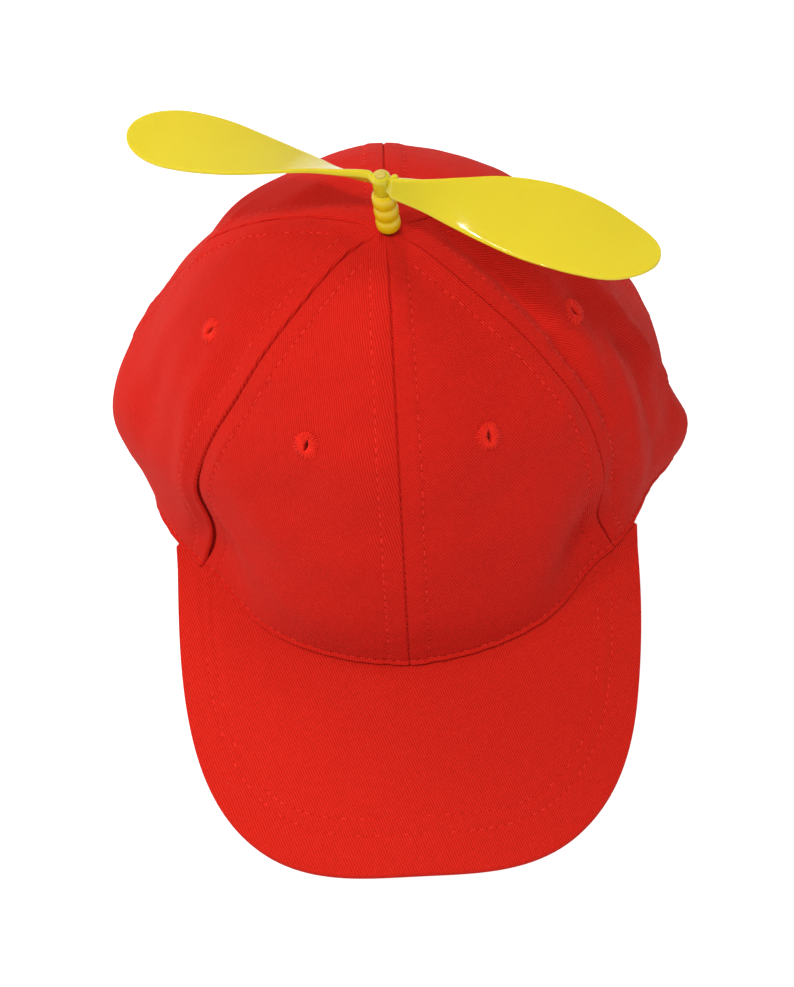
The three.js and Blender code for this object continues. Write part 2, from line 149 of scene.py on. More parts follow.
# %% Grids and turned shapes
def laid_grid(name, places, flat=None):
    """A grid primitive with its points laid on rows and columns of places, in metres.

    flat gives each point's place on the uncut cloth, in millimetres, for the weave."""
    rows, columns = places.shape[:2]
    bpy.ops.object.select_all(action="DESELECT")
    bpy.ops.mesh.primitive_grid_add(x_subdivisions=columns - 1, y_subdivisions=rows - 1, size=1)
    piece = named(bpy.context.object, name)
    piece.data.vertices.foreach_set("co", places.reshape(-1).astype(np.float32))
    if flat is not None:
        corners = np.zeros(len(piece.data.loops), dtype=np.int32)
        piece.data.loops.foreach_get("vertex_index", corners)
        sheet = flat.reshape(-1, 2)[corners].astype(np.float32)
        piece.data.uv_layers.active.data.foreach_set("uv", sheet.reshape(-1))
    piece.data.update()
    return piece


def fill_open_ends(piece):
    """Closes each open edge loop with one face."""
    only(piece)
    bpy.ops.object.mode_set(mode="EDIT")
    bpy.ops.mesh.select_mode(type="EDGE")
    bpy.ops.mesh.select_all(action="DESELECT")
    bpy.ops.mesh.select_non_manifold(extend=False, use_multi_face=False, use_non_contiguous=False,
                                     use_verts=False)
    bpy.ops.mesh.fill_holes(sides=0)
    bpy.ops.mesh.select_all(action="SELECT")
    bpy.ops.mesh.normals_make_consistent(inside=False)
    bpy.ops.mesh.select_mode(type="VERT")
    bpy.ops.object.mode_set(mode="OBJECT")


def turned(name, profile, steps=48):
    """Spins a profile of (radius, height) pairs, in millimetres, about the Z axis."""
    bpy.ops.object.select_all(action="DESELECT")
    bpy.ops.mesh.primitive_plane_add(size=0.001)
    piece = named(bpy.context.object, name)
    bpy.ops.object.mode_set(mode="EDIT")
    bpy.ops.mesh.select_all(action="SELECT")
    bpy.ops.mesh.merge(type="CENTER")
    bpy.ops.transform.translate(value=(profile[0][0] * MM, 0, profile[0][1] * MM))
    for (r0, z0), (r1, z1) in zip(profile, profile[1:]):
        step = ((r1 - r0) * MM, 0, (z1 - z0) * MM)
        bpy.ops.mesh.extrude_region_move(TRANSFORM_OT_translate={"value": step})
    bpy.ops.mesh.select_all(action="SELECT")
    bpy.ops.mesh.spin(steps=steps, angle=2 * math.pi, center=(0, 0, 0), axis=(0, 0, 1))
    bpy.ops.mesh.select_all(action="SELECT")
    bpy.ops.mesh.remove_doubles(threshold=2e-6)
    bpy.ops.mesh.normals_make_consistent(inside=False)
    bpy.ops.object.mode_set(mode="OBJECT")
    return piece


def strewn(name, pattern, matrices):
    """One mesh that holds a copy of a small pattern at each matrix."""
    count = len(pattern.data.vertices)
    points = np.zeros(count * 3, dtype=np.float32)
    pattern.data.vertices.foreach_get("co", points)
    points = np.c_[points.reshape(-1, 3), np.ones(count)]
    faces = [tuple(face.vertices) for face in pattern.data.polygons]
    all_points = np.concatenate([(points @ np.array(m).T)[:, :3] for m in matrices])
    all_faces = [tuple(v + k * count for v in face) for k in range(len(matrices)) for face in faces]
    mesh = bpy.data.meshes.new(name)
    mesh.from_pydata(all_points.tolist(), [], all_faces)
    piece = bpy.data.objects.new(name, mesh)
    bpy.context.collection.objects.link(piece)
    return piece


def forget(piece):
    bpy.data.objects.remove(piece, do_unlink=True)


# %% [markdown]
# ## Finishes
# Cotton twill shows fine slanting ribs about a millimetre apart, with a short float of yarn between
# two crossings. One node group draws those ribs from the flat cloth's own millimetres, so they turn
# with each panel as it was cut. It also gives a groove value between the ribs, deeper in random patches.
# The cloth darkens its colour by that value, which is painted shade in the grooves. A second group adds
# what use and dye leave: soft clouds of tone, and specks of lint. Both put out only colours and heights
# that change over the surface, and the shader that uses them stays in each material.


# %% Node helpers
class Board:
    """A short hand for placing and wiring shader nodes."""

    def __init__(self, tree):
        self.tree = tree

    def node(self, kind, **values):
        made = self.tree.nodes.new("ShaderNode" + kind)
        for key, value in values.items():
            setattr(made, key, value)
        return made

    def wire(self, source, target):
        self.tree.links.new(source, target)

    def put(self, socket, value):
        if isinstance(value, bpy.types.NodeSocket):
            self.wire(value, socket)
        else:
            socket.default_value = value

    def maths(self, operation, first, second=0.0, clamp=False):
        made = self.node("Math", operation=operation, use_clamp=clamp)
        self.put(made.inputs[0], first)
        self.put(made.inputs[1], second)
        return made.outputs[0]

    def between(self, value, low, high, to_low=0.0, to_high=1.0):
        made = self.node("MapRange", interpolation_type="SMOOTHSTEP")
        for socket, given in zip(made.inputs, (value, low, high, to_low, to_high)):
            self.put(socket, given)
        return made.outputs[0]

    def mix(self, share, first, second, blend="MIX"):
        made = self.node("Mix", data_type="RGBA", blend_type=blend)
        self.put(made.inputs["Factor"], share)
        self.put(made.inputs[6], first)
        self.put(made.inputs[7], second)
        return made.outputs[2]

    def noise(self, vector, scale, detail=2.0, roughness=0.5):
        made = self.node("TexNoise")
        self.put(made.inputs["Vector"], vector)
        made.inputs["Scale"].default_value = scale
        made.inputs["Detail"].default_value = detail
        made.inputs["Roughness"].default_value = roughness
        return made.outputs["Fac"]


def new_group(name, inputs, outputs):
    group = bpy.data.node_groups.new(name, "ShaderNodeTree")
    for label, kind, value in inputs:
        socket = group.interface.new_socket(name=label, in_out="INPUT", socket_type="NodeSocket" + kind)
        if value is not None:
            socket.default_value = value
    for label, kind in outputs:
        group.interface.new_socket(name=label, in_out="OUTPUT", socket_type="NodeSocket" + kind)
    board = Board(group)
    return group, board, board.node("TexCoord"), group.nodes.new("NodeGroupInput"), \
        group.nodes.new("NodeGroupOutput")


# %% The twill group
def make_twill_group():
    group, b, spare, given, out = new_group(
        "twill weave",
        [("Cloth", "Vector", None), ("Rib pitch", "Float", 1.0), ("Rib angle", "Float", 29.0)],
        [("Height", "Float"), ("Groove", "Float")])
    group.nodes.remove(spare)
    split = b.node("SeparateXYZ")
    b.wire(given.outputs["Cloth"], split.inputs[0])
    wander = b.maths("MULTIPLY", b.maths("SUBTRACT", b.noise(given.outputs["Cloth"], 0.09, 1.0), 0.5), 0.9)
    turn = b.maths("RADIANS", given.outputs["Rib angle"])
    cosine = b.maths("COSINE", turn)
    sine = b.maths("SINE", turn)
    across = b.maths("ADD", b.maths("MULTIPLY", split.outputs[0], cosine),
                     b.maths("MULTIPLY", split.outputs[1], sine))
    across = b.maths("DIVIDE", b.maths("ADD", across, wander), given.outputs["Rib pitch"])
    along = b.maths("SUBTRACT", b.maths("MULTIPLY", split.outputs[1], cosine),
                    b.maths("MULTIPLY", split.outputs[0], sine))
    along = b.maths("DIVIDE", along, b.maths("MULTIPLY", given.outputs["Rib pitch"], 0.85))
    line = b.maths("FLOOR", across)
    rib = b.maths("SINE", b.maths("MULTIPLY", b.maths("FRACT", across), math.pi))
    float_place = b.maths("FRACT", b.maths("ADD", along, b.maths("MULTIPLY", line, 0.37)))
    yarn = b.maths("SINE", b.maths("MULTIPLY", float_place, math.pi))
    yarn = b.maths("POWER", b.maths("MAXIMUM", yarn, 0.001), 0.35)
    height = b.maths("MULTIPLY", b.maths("POWER", b.maths("MAXIMUM", rib, 0.001), 0.8),
                     b.maths("ADD", b.maths("MULTIPLY", yarn, 0.45), 0.55))
    slub = b.noise(given.outputs["Cloth"], 1.6, 3.0, 0.7)
    height = b.maths("ADD", height, b.maths("MULTIPLY", b.maths("SUBTRACT", slub, 0.5), 0.5))
    b.wire(height, out.inputs["Height"])
    # Groove is high between the ribs and deeper in random patches. The cloth darkens its colour by it, which
    # is painted shade, and also takes its roughness from it.
    patchy_depth = b.between(b.noise(given.outputs["Cloth"], 0.55, 3.0, 0.65), 0.3, 0.7, 0.72, 1.0)
    b.wire(b.maths("MULTIPLY", b.maths("SUBTRACT", 1.0, height), patchy_depth, clamp=True), out.inputs["Groove"])
    return group


TWILL = make_twill_group()


# %% The tone group
def make_tone_group():
    group, b, spare, given, out = new_group(
        "dye and lint",
        [("Place", "Vector", None), ("Colour", "Color", (0.6, 0.02, 0.01, 1)),
         ("Cloud", "Float", 0.1), ("Cloud size", "Float", 60.0), ("Lint", "Float", 0.2)],
        [("Colour", "Color"), ("Grain", "Float")])
    group.nodes.remove(spare)
    scaled = b.node("VectorMath", operation="SCALE")
    b.wire(given.outputs["Place"], scaled.inputs[0])
    b.wire(given.outputs["Cloud size"], scaled.inputs["Scale"])
    cloud = b.noise(scaled.outputs[0], 1.0, 4.0, 0.6)
    dark = b.mix(1.0, given.outputs["Colour"], (0.62, 0.55, 0.55, 1), "MULTIPLY")
    share = b.maths("MULTIPLY", b.between(cloud, 0.35, 0.7), given.outputs["Cloud"], clamp=True)
    toned = b.mix(share, given.outputs["Colour"], dark)
    speck = b.between(b.noise(given.outputs["Place"], 900.0, 2.0), 0.69, 0.78)
    speck_share = b.maths("MULTIPLY", speck, given.outputs["Lint"], clamp=True)
    pale = b.mix(0.35, given.outputs["Colour"], (0.9, 0.45, 0.4, 1))
    b.wire(b.mix(speck_share, toned, pale), out.inputs["Colour"])
    b.wire(b.noise(given.outputs["Place"], 2500.0, 2.0), out.inputs["Grain"])
    return group


TONE = make_tone_group()


# %% [markdown]
# ## Materials
# The cap is one dyed cotton. Panels and visor share a recipe and differ in the slant of their ribs, and the
# visor's red is painted a little paler, as painted light.
# Seen at a grazing angle cotton looks paler, because loose fibres catch the light: that is sheen, and
# it is set on the shader. The plastic is glossy and slightly see-through, so light bleeds under its
# surface and turns its shadows orange.


# %% Cloth, thread and holes
def new_material(name):
    material = bpy.data.materials.new(name)
    material.use_nodes = True
    board = Board(material.node_tree)
    shader = material.node_tree.nodes["Principled BSDF"]
    return material, board, shader


def use_group(board, group, **values):
    node = board.tree.nodes.new("ShaderNodeGroup")
    node.node_tree = group
    for key, value in values.items():
        board.put(node.inputs[key.replace("_", " ")], value)
    return node


RED = (0.575, 0.0152, 0.0086, 1)
# The visor is the same cotton, with its red painted a little paler and greyer than the panels' red: painted
# light, for the brighter light on the visor.
RED_VISOR_LIT = (0.595, 0.0176, 0.0096, 1)


def cloth_material(name, colour, angle):
    material, b, shader = new_material(name)
    cloth = b.node("UVMap", uv_map="UVMap").outputs[0]
    place = b.node("TexCoord").outputs["Object"]
    weave = use_group(b, TWILL, Cloth=cloth, Rib_pitch=0.77, Rib_angle=angle)
    tone = use_group(b, TONE, Place=place, Colour=colour, Cloud=0.07, Cloud_size=260.0, Lint=0.12)
    # Painted shade: the colour is darkened in the weave's grooves, by the groove value.
    painted_groove_shade = b.mix(1.0, tone.outputs["Colour"], (0.58, 0.43, 0.43, 1), "MULTIPLY")
    b.wire(b.mix(weave.outputs["Groove"], tone.outputs["Colour"], painted_groove_shade), shader.inputs["Base Color"])
    rough = b.between(weave.outputs["Groove"], 0.0, 1.0, 0.82, 0.95)
    b.wire(rough, shader.inputs["Roughness"])
    shader.inputs["Specular IOR Level"].default_value = 0.07
    shader.inputs["Sheen Weight"].default_value = 0.055
    shader.inputs["Sheen Roughness"].default_value = 0.35
    shader.inputs["Sheen Tint"].default_value = (1.0, 0.38, 0.30, 1)
    bump = b.node("Bump")
    bump.inputs["Strength"].default_value = 0.8
    bump.inputs["Distance"].default_value = 0.00021
    b.wire(weave.outputs["Height"], bump.inputs["Height"])
    b.wire(bump.outputs[0], shader.inputs["Normal"])
    return material


PANEL_CLOTH = cloth_material("red twill of the panels", RED, 29.0)
VISOR_CLOTH = cloth_material("red twill of the visor", RED_VISOR_LIT, 21.0)


def thread_material(name, colour):
    material, b, shader = new_material(name)
    place = b.node("TexCoord").outputs["Object"]
    tone = use_group(b, TONE, Place=place, Colour=colour, Cloud=0.3, Cloud_size=400.0, Lint=0.1)
    b.wire(tone.outputs["Colour"], shader.inputs["Base Color"])
    b.wire(b.between(tone.outputs["Grain"], 0.2, 0.8, 0.55, 0.8), shader.inputs["Roughness"])
    shader.inputs["Specular IOR Level"].default_value = 0.1
    shader.inputs["Sheen Weight"].default_value = 0.04
    shader.inputs["Sheen Tint"].default_value = (1.0, 0.5, 0.45, 1)
    bump = b.node("Bump")
    bump.inputs["Strength"].default_value = 0.5
    bump.inputs["Distance"].default_value = 0.00006
    b.wire(tone.outputs["Grain"], bump.inputs["Height"])
    b.wire(bump.outputs[0], shader.inputs["Normal"])
    return material


STITCH_THREAD = thread_material("red sewing thread", (0.68, 0.028, 0.018, 1))
EYELET_THREAD = thread_material("red eyelet thread", (0.69, 0.020, 0.010, 1))
# Painted shade: the needle holes are dark discs without sheen or gloss.
NEEDLE_HOLE_SHADE = thread_material("shadow in a needle hole", (0.20, 0.003, 0.002, 1))
for socket, value in (("Sheen Weight", 0.0), ("Specular IOR Level", 0.0)):
    NEEDLE_HOLE_SHADE.node_tree.nodes["Principled BSDF"].inputs[socket].default_value = value


# %% Plastic
def plastic_material(name, colour, shade, rough, glow):
    """Moulded plastic: an even colour, faint flow clouds, a fine skin, and light that bleeds within."""
    material, b, shader = new_material(name)
    place = b.node("TexCoord").outputs["Object"]
    clouds = b.noise(place, 55.0, 3.0, 0.55)
    b.wire(b.mix(b.between(clouds, 0.35, 0.75, 0.0, 0.35), colour, shade), shader.inputs["Base Color"])
    skin = b.noise(place, 620.0, 3.0, 0.6)
    b.wire(b.between(skin, 0.3, 0.75, rough, rough + 0.08), shader.inputs["Roughness"])
    shader.inputs["Subsurface Weight"].default_value = glow
    shader.inputs["Subsurface Radius"].default_value = (1.0, 0.50, 0.08)
    shader.inputs["Subsurface Scale"].default_value = 0.0045
    shader.inputs["IOR"].default_value = 1.5
    bump = b.node("Bump")
    bump.inputs["Strength"].default_value = 0.15
    bump.inputs["Distance"].default_value = 0.00003
    b.wire(b.maths("ADD", skin, b.maths("MULTIPLY", clouds, 4.0)), bump.inputs["Height"])
    b.wire(bump.outputs[0], shader.inputs["Normal"])
    return material


YELLOW = plastic_material("yellow moulded plastic", (0.52, 0.43, 0.013, 1), (0.51, 0.405, 0.011, 1),
                          0.07, 0.30)
STEM_YELLOW = plastic_material("warmer yellow of the stem", (0.62, 0.44, 0.003, 1), (0.61, 0.41, 0.002, 1),
                               0.22, 0.3)
PIN_YELLOW = plastic_material("pale pin plastic", (0.47, 0.35, 0.06, 1), (0.43, 0.31, 0.045, 1), 0.25, 0.2)
print("materials", len(bpy.data.materials))

# %% [markdown]
# ## The crown's block
# A hatter shapes cloth over a wooden block. The block here is the same table that the solids use: how
# far the cloth stands from the crown's axis, in seven levels from rim to apex, for every 30 degrees
# round. A smooth curve runs through the numbers in both directions.

# %% Block tables
CROWN_HEIGHT = 131.4
FRONT_REACH = 88.0
SIDE_REACH = 88.0
BACK_REACH = 97.0
CLOTH = 1.6
SIDE_SEAM = 115.6
VISOR_REACH = 67.7
VISOR_HALF_WIDTH = 77.2
VISOR_THICKNESS = 2.2
VISOR_ARCH = 16.1
VISOR_SLOPE = math.radians(13.1)
VISOR_CORNER = 67.2
VISOR_SQUARENESS = 2.95
VISOR_TUCK = 3.0
RIM_LOWEST = 105.0
CROWN_RADIUS = np.array([
    [1.004, 1.010, 0.958, 0.845, 0.656, 0.366, 0],
    [0.979, 0.960, 0.899, 0.784, 0.597, 0.322, 0],
    [0.970, 0.960, 0.905, 0.789, 0.593, 0.308, 0],
    [0.980, 1.025, 0.983, 0.857, 0.647, 0.362, 0],
    [1.042, 1.085, 1.066, 0.895, 0.700, 0.397, 0],
    [1.030, 1.026, 0.960, 0.865, 0.675, 0.381, 0],
    [0.995, 0.992, 0.945, 0.852, 0.689, 0.395, 0],
])
CROWN_LEVEL = np.array([0, 0.192, 0.396, 0.603, 0.798, 0.938, 1])
SEAM_LEFT = np.array([57.1, 57.1, 57.9, 55.9, 53.8, 56.1, 64.8])
SEAM_RIGHT = np.array([57.3, 55.4, 55.4, 56.4, 55.5, 54.9, 59.5])
BIG_FOLDS = [
    (-1, 52.7, 0.146, -0.120, 15.8, 0.161),
    (-1, 96.4, 0.257, 0.093, 13.5, 0.120),
    (1, 49.6, 0.135, -0.121, 12.8, 0.135),
    (1, 97.0, 0.053, 0.141, 12.6, 0.117),
]


# %% Block curves
def between(a, b, c, d, t):
    return b + 0.5 * t * (c - a + t * (2 * a - 5 * b + 4 * c - d + t * (3 * (b - c) + d - a)))


def curve(values, share, before, after):
    """A smooth curve through evenly spaced values, at many shares at once."""
    padded = np.concatenate([[before], values, [after]])
    place = np.clip(share, 0, 1) * (len(values) - 1)
    k = np.minimum(place.astype(int), len(values) - 2)
    return between(padded[k], padded[k + 1], padded[k + 2], padded[k + 3], place - k)


def reach(angle):
    ahead = np.cos(np.radians(angle))
    aside = np.sin(np.radians(angle))
    return 1 / np.hypot(ahead / np.where(ahead >= 0, FRONT_REACH, BACK_REACH), aside / SIDE_REACH)


ROW_RADIUS = CROWN_RADIUS * reach(np.arange(7) * 30.0)[:, None]


def crown_radius(angle, level):
    angle, level = np.broadcast_arrays(np.asarray(angle, float), np.asarray(level, float))
    place = np.abs(angle) / 30
    k = np.minimum(place.astype(int), 5)
    down = np.clip(level, 0, 1) * 6
    j = np.minimum(down.astype(int), 5)
    table = np.concatenate([2 * ROW_RADIUS[:, :1] - ROW_RADIUS[:, 1:2], ROW_RADIUS, -ROW_RADIUS[:, 5:6]], 1)

    def row(index):
        index = np.where(np.abs(index) > 6, 12 - np.abs(index), np.abs(index))
        return between(table[index, j], table[index, j + 1], table[index, j + 2], table[index, j + 3],
                       down - j)

    radius = between(row(k - 1), row(k), row(k + 1), row(k + 2), place - k)
    for side, at, height, depth, width, tall in BIG_FOLDS:
        swell = np.exp(-((angle - side * at) / width) ** 2 - ((level - height) / tall) ** 2)
        radius = radius + depth * SIDE_REACH * swell * np.minimum(1, (1 - level) * 4)
    return radius


def rim_point(angle, depth):
    """A place on the rim's outline, moved inwards by a depth, in plan."""
    def at(a):
        radius = crown_radius(a, 0.0)
        return np.stack([radius * np.sin(np.radians(a)), -radius * np.cos(np.radians(a))], -1)
    along = at(angle + 0.5) - at(angle - 0.5)
    along = along / np.linalg.norm(along, axis=-1, keepdims=True)
    return at(angle) + np.stack([-along[..., 1], along[..., 0]], -1) * depth


CORNER_Y = rim_point(np.array(VISOR_CORNER), 0)[1]
TIP_Y = -(crown_radius(0, 0) + VISOR_REACH)


def visor_outline(across, half_width, tip_y, squareness, middle=0.0):
    """A rounded outline in plan, from the left corner at -1 to the right corner at 1."""
    turn = np.asarray(across) * math.pi / 2
    x = middle + half_width * np.sign(turn) * np.abs(np.sin(turn)) ** (2 / squareness)
    y = CORNER_Y + (tip_y - CORNER_Y) * np.abs(np.cos(turn)) ** (2 / squareness)
    return np.stack([x, y], -1)


def visor_edge(across, inset=0.0):
    return visor_outline(across, VISOR_HALF_WIDTH - inset, TIP_Y + inset, VISOR_SQUARENESS)


def arch_height(plan):
    return VISOR_ARCH * (1 - (plan[..., 0] / VISOR_HALF_WIDTH) ** 2) + math.tan(VISOR_SLOPE) * plan[..., 1]


LOWEST_ARCH = arch_height(visor_edge(np.linspace(-1, 1, 29), 0.7)).min()


def visor_top(plan):
    return arch_height(plan) - LOWEST_ARCH + VISOR_THICKNESS


def rim_height(angle):
    start = VISOR_CORNER + 2
    t = np.clip((np.abs(angle) - start) / (RIM_LOWEST - start), 0, 1)
    kept = np.sign(angle) * np.minimum(np.abs(angle), VISOR_CORNER)
    return (visor_top(rim_point(kept, 0)) + 0.3) * (1 - t * t * (3 - 2 * t))


def crown_point(angle, level):
    """The block's surface, in millimetres from the foot of its axis."""
    angle, level = np.broadcast_arrays(np.asarray(angle, float), np.asarray(level, float))
    radius = crown_radius(angle, level)
    up = CROWN_HEIGHT * curve(CROWN_LEVEL, level, -CROWN_LEVEL[1], CROWN_LEVEL[5])
    z = up + rim_height(angle) * (1 - level) ** 2
    return np.stack([radius * np.sin(np.radians(angle)), -radius * np.cos(np.radians(angle)), z], -1)


def crown_normal(angle, level):
    round_about = crown_point(angle + 1, level) - crown_point(angle - 1, level)
    up = crown_point(angle, np.minimum(level + 0.01, 0.995)) - crown_point(angle, np.maximum(level - 0.01, 0))
    normal = np.cross(round_about, up)
    return normal / np.linalg.norm(normal, axis=-1, keepdims=True)


def to_metres(points):
    return (points + SEAM_AXIS) * MM


print("block", np.round(crown_point(0.0, 0.0), 1), "to", np.round(crown_point(0.0, 1.0), 1))

# %% [markdown]
# ## Seams, rows and folds
# A cap's panels are sewn face to face, the spare cloth is turned to both sides and stitched down about
# 6.5 mm from the seam. That leaves a dark valley at the seam, a slightly raised band beside it, and a
# row of dimples. Along the rim the edge is turned under into a small roll, with its own row above it.
# The soft folds come from how slack the cloth hangs, each one a line on the block with a depth.

# %% Sewing sizes
SEAM_ROW = 6.5  # from a seam to the row that holds its spare cloth down
RIM_ROW = 2.4
STITCH_PITCH = 3.0
THREAD = 0.38  # thickness of the sewing thread
SEAM_DEPTH = 1.0
APEX_CLOSE = 2.0  # the cloth closes round the pin, under the stem's foot
# Soft folds: depth (outwards above 0), half width, then degrees round and level at each point.
SOFT_FOLDS = [
    (2.2, 5.8, [(-75, 0.74), (-71, 0.62), (-68, 0.55), (-64.5, 0.45), (-62.5, 0.33), (-63, 0.20),
                (-65, 0.05)]),
    (-1.7, 8.0, [(-90, 0.60), (-84, 0.44), (-80, 0.28)]),
    (1.0, 3.8, [(-130, 0.70), (-117, 0.67), (-112, 0.605), (-109, 0.48)]),
    (1.3, 4.0, [(-53, 0.33), (-48, 0.27), (-43, 0.24), (-38, 0.21)]),
    (2.3, 13.0, [(-58, 0.40), (-42, 0.53), (-26, 0.57), (-11, 0.585), (9, 0.59), (20, 0.585), (32, 0.565),
                 (45, 0.545), (60, 0.51)]),
    (-3.0, 3.3, [(118, 0.94), (85, 0.884), (78, 0.831), (72, 0.771), (70, 0.735), (67, 0.678)]),
    (-2.2, 2.7, [(71, 0.76), (67, 0.678), (64.5, 0.61), (64, 0.55), (64, 0.50), (63, 0.43)]),
    (2.1, 6.4, [(94, 0.82), (86, 0.757), (79, 0.691), (75.5, 0.631), (73, 0.578), (71, 0.518), (68, 0.43)]),
    (1.8, 5.0, [(86, 0.60), (79, 0.518), (74, 0.445), (71, 0.365), (69, 0.279), (70, 0.15)]),
    (-3.5, 6.0, [(82, 0.62), (86, 0.465), (84, 0.392), (81, 0.319), (80, 0.18)]),
    (3.0, 5.2, [(95, 0.70), (92, 0.571), (91, 0.49), (92, 0.40), (96, 0.27), (96, 0.12)]),
    (-1.3, 3.2, [(59.5, 0.37), (60, 0.27), (61, 0.18)]),
    (-0.7, 4.5, [(-124, 0.83), (-137, 0.88), (-160, 0.90)]),
    (0.7, 4.0, [(-122, 0.78), (-140, 0.83), (-165, 0.85)]),
    (-0.8, 6.0, [(-150, 0.42), (-158, 0.26), (-160, 0.10)]),
    (-0.9, 6.5, [(142, 0.50), (152, 0.30), (155, 0.12)]),
    (0.8, 5.0, [(128, 0.44), (134, 0.26), (136, 0.08)]),
]


# %% Relief
def bell(distance, width):
    return np.exp(-(distance / width) ** 2)


def step_up(value, low, high):
    t = np.clip((value - low) / (high - low), 0, 1)
    return t * t * (3 - 2 * t)


def fold_relief(points):
    """Height of all the soft folds at points on the block."""
    flat = points.reshape(-1, 3)
    total = np.zeros(len(flat))
    for depth, width, line in SOFT_FOLDS:
        knots = np.array(line, float)
        share = np.linspace(0, len(knots) - 1, 36)
        angle = np.interp(share, range(len(knots)), knots[:, 0])
        level = np.interp(share, range(len(knots)), knots[:, 1])
        spine = crown_point(angle, level)
        gap = np.linalg.norm(flat[:, None] - spine[None], axis=-1)
        nearest = gap.argmin(1)
        fade = np.sin(np.pi * (nearest + 2) / 40) ** 0.7
        total += depth * fade * bell(gap.min(1), width)
    return total.reshape(points.shape[:-1])


def slack_relief(points):
    """Gentle unevenness of slack cloth, from a few fixed waves."""
    rng = np.random.default_rng(7)
    total = np.zeros(points.shape[:-1])
    for length, height in ((64, 0.40), (47, 0.30), (33, 0.22), (23, 0.12), (15, 0.07), (11, 0.05)):
        for _ in range(2):
            way = rng.normal(size=3)
            way = way / np.linalg.norm(way)
            total += height * np.sin(points @ way * 2 * math.pi / length + rng.uniform(0, 6.28))
    return total


def seam_relief(away, along, phase, gap, over, dashed):
    """The valley, raised band and row beside a seam, by distance away from it and along it.

    Distances below 0 are on the strip that runs on under the next panel. gap is 1 where slack cloth of
    one panel overhangs the other. over is above 0 on the upper panel and below 0 on the lower one, and
    dashed is 1 where each stitch of the seam pinches its valley shut."""
    under = max(-over, 0)
    bite = 0.85 + dashed * (0.5 * np.cos(2 * math.pi * along / 2.9) - 0.35)
    opened = gap * (1.5 * under - 0.45 * (1 - under))
    depth = SEAM_DEPTH * (0.3 + 0.7 * bite) * (1 - 0.3 * (over == 0)) + opened
    valley = -depth * bell(np.maximum(away, 0), 0.16 + 0.09 * bite + 0.50 * gap * under)
    band = 0.30 * step_up(away, 0.1, 0.8) * (1 - step_up(away, SEAM_ROW - 0.7, SEAM_ROW + 0.9))
    tug = 0.5 + 0.5 * np.cos(2 * math.pi * along / STITCH_PITCH)
    row = -(0.14 + 0.14 * tug) * bell(away - SEAM_ROW, 0.65)
    pucker = np.sin(2 * math.pi * along / 8.3 + phase) + 0.7 * np.sin(2 * math.pi * along / 5.1 + 2 * phase)
    proud = np.where(over > 0, 1.0, -0.45) * abs(over) * (0.30 + 0.42 * gap) * bell(away, 4.6)
    total = valley + band + row + 0.08 * pucker * bell(away - SEAM_ROW, 3.4) + proud
    closed = step_up(-away, 0.3, 2.3)
    return total * (1 - closed) - closed * (1.05 - 0.1 * gap)


def rim_relief(up, along):
    """The turned edge: a full roll that tucks in below, and the row above it."""
    roll = 0.75 * bell(up - 1.15, 0.85) - 0.55 * bell(up, 0.55)
    tug = 0.5 + 0.5 * np.cos(2 * math.pi * along / STITCH_PITCH)
    row = -(0.22 + 0.14 * tug) * bell(up - RIM_ROW, 0.55)
    pucker = np.sin(2 * math.pi * along / 9.1) + 0.6 * np.sin(2 * math.pi * along / 5.7 + 1.3)
    return roll + row + 0.09 * pucker * bell(up - RIM_ROW, 3.5)


# %% [markdown]
# ## The six panels
# Each panel starts as a flat grid primitive and is laid on the block between its two seams, with its
# points closer together beside the seams and the rim, where the fine relief is. Its flat millimetres
# go into the UV map for the weave. The eyelet's hole is deleted, and Solidify gives the cloth its
# thickness inwards, as the solid has it.


# %% Panel seams
def left_front_seam(level):
    return -curve(SEAM_LEFT, level, 2 * SEAM_LEFT[0] - SEAM_LEFT[1], SEAM_LEFT[6])


def right_front_seam(level):
    drift = 1.0 - step_up(level, 0.40, 0.85)
    return curve(SEAM_RIGHT, level, 2 * SEAM_RIGHT[0] - SEAM_RIGHT[1], SEAM_RIGHT[6]) + drift


def fixed_seam(angle):
    return lambda level: np.full(np.shape(level), float(angle))


PANELS = {
    "panel_front_left": (left_front_seam, fixed_seam(0)),
    "panel_front_right": (fixed_seam(0), right_front_seam),
    "panel_side_left": (fixed_seam(-SIDE_SEAM), left_front_seam),
    "panel_side_right": (right_front_seam, fixed_seam(SIDE_SEAM)),
    "panel_back_left": (fixed_seam(-180), fixed_seam(-SIDE_SEAM)),
    "panel_back_right": (fixed_seam(SIDE_SEAM), fixed_seam(180)),
}
EYELET_SPOTS = {"front": (26.2, 0.585), "side": (77.7, 0.637), "back": (147.0, 0.53)}


def uneven(total, fine, fine_span, coarse, both_ends):
    """Places from 0 to total, with fine steps near one end or both, and coarse steps elsewhere."""
    start = np.arange(0, fine_span, fine)
    end = total - start[::-1] if both_ends else np.array([total])
    middle = np.linspace(start[-1], end[0], max(2, int((end[0] - start[-1]) / coarse)) + 1)[1:-1]
    return np.concatenate([start, middle, end]) / total


def panel_columns():
    """Very fine steps in the seam, fine ones over the sewn band, coarse ones in the middle."""
    start = np.concatenate([[0, 0.12, 0.26, 0.44, 0.7, 1.0, 1.35, 1.7, 2.1], np.arange(2.6, 11.0, 0.72)])
    middle = np.linspace(start[-1], 92.0 - start[-1], 38)[1:-1]
    return np.concatenate([start, middle, 92.0 - start[::-1]]) / 92.0


COLUMN_SHARES = panel_columns()
ROW_SHARES = uneven(166.0, 0.40, 7.0, 0.98, False)
UNDER_LAP = np.array([-2.6, -2.0, -1.5, -1.05, -0.65, -0.35, -0.15])  # the strip under the next panel
BARE_LAP = np.array([-0.06])
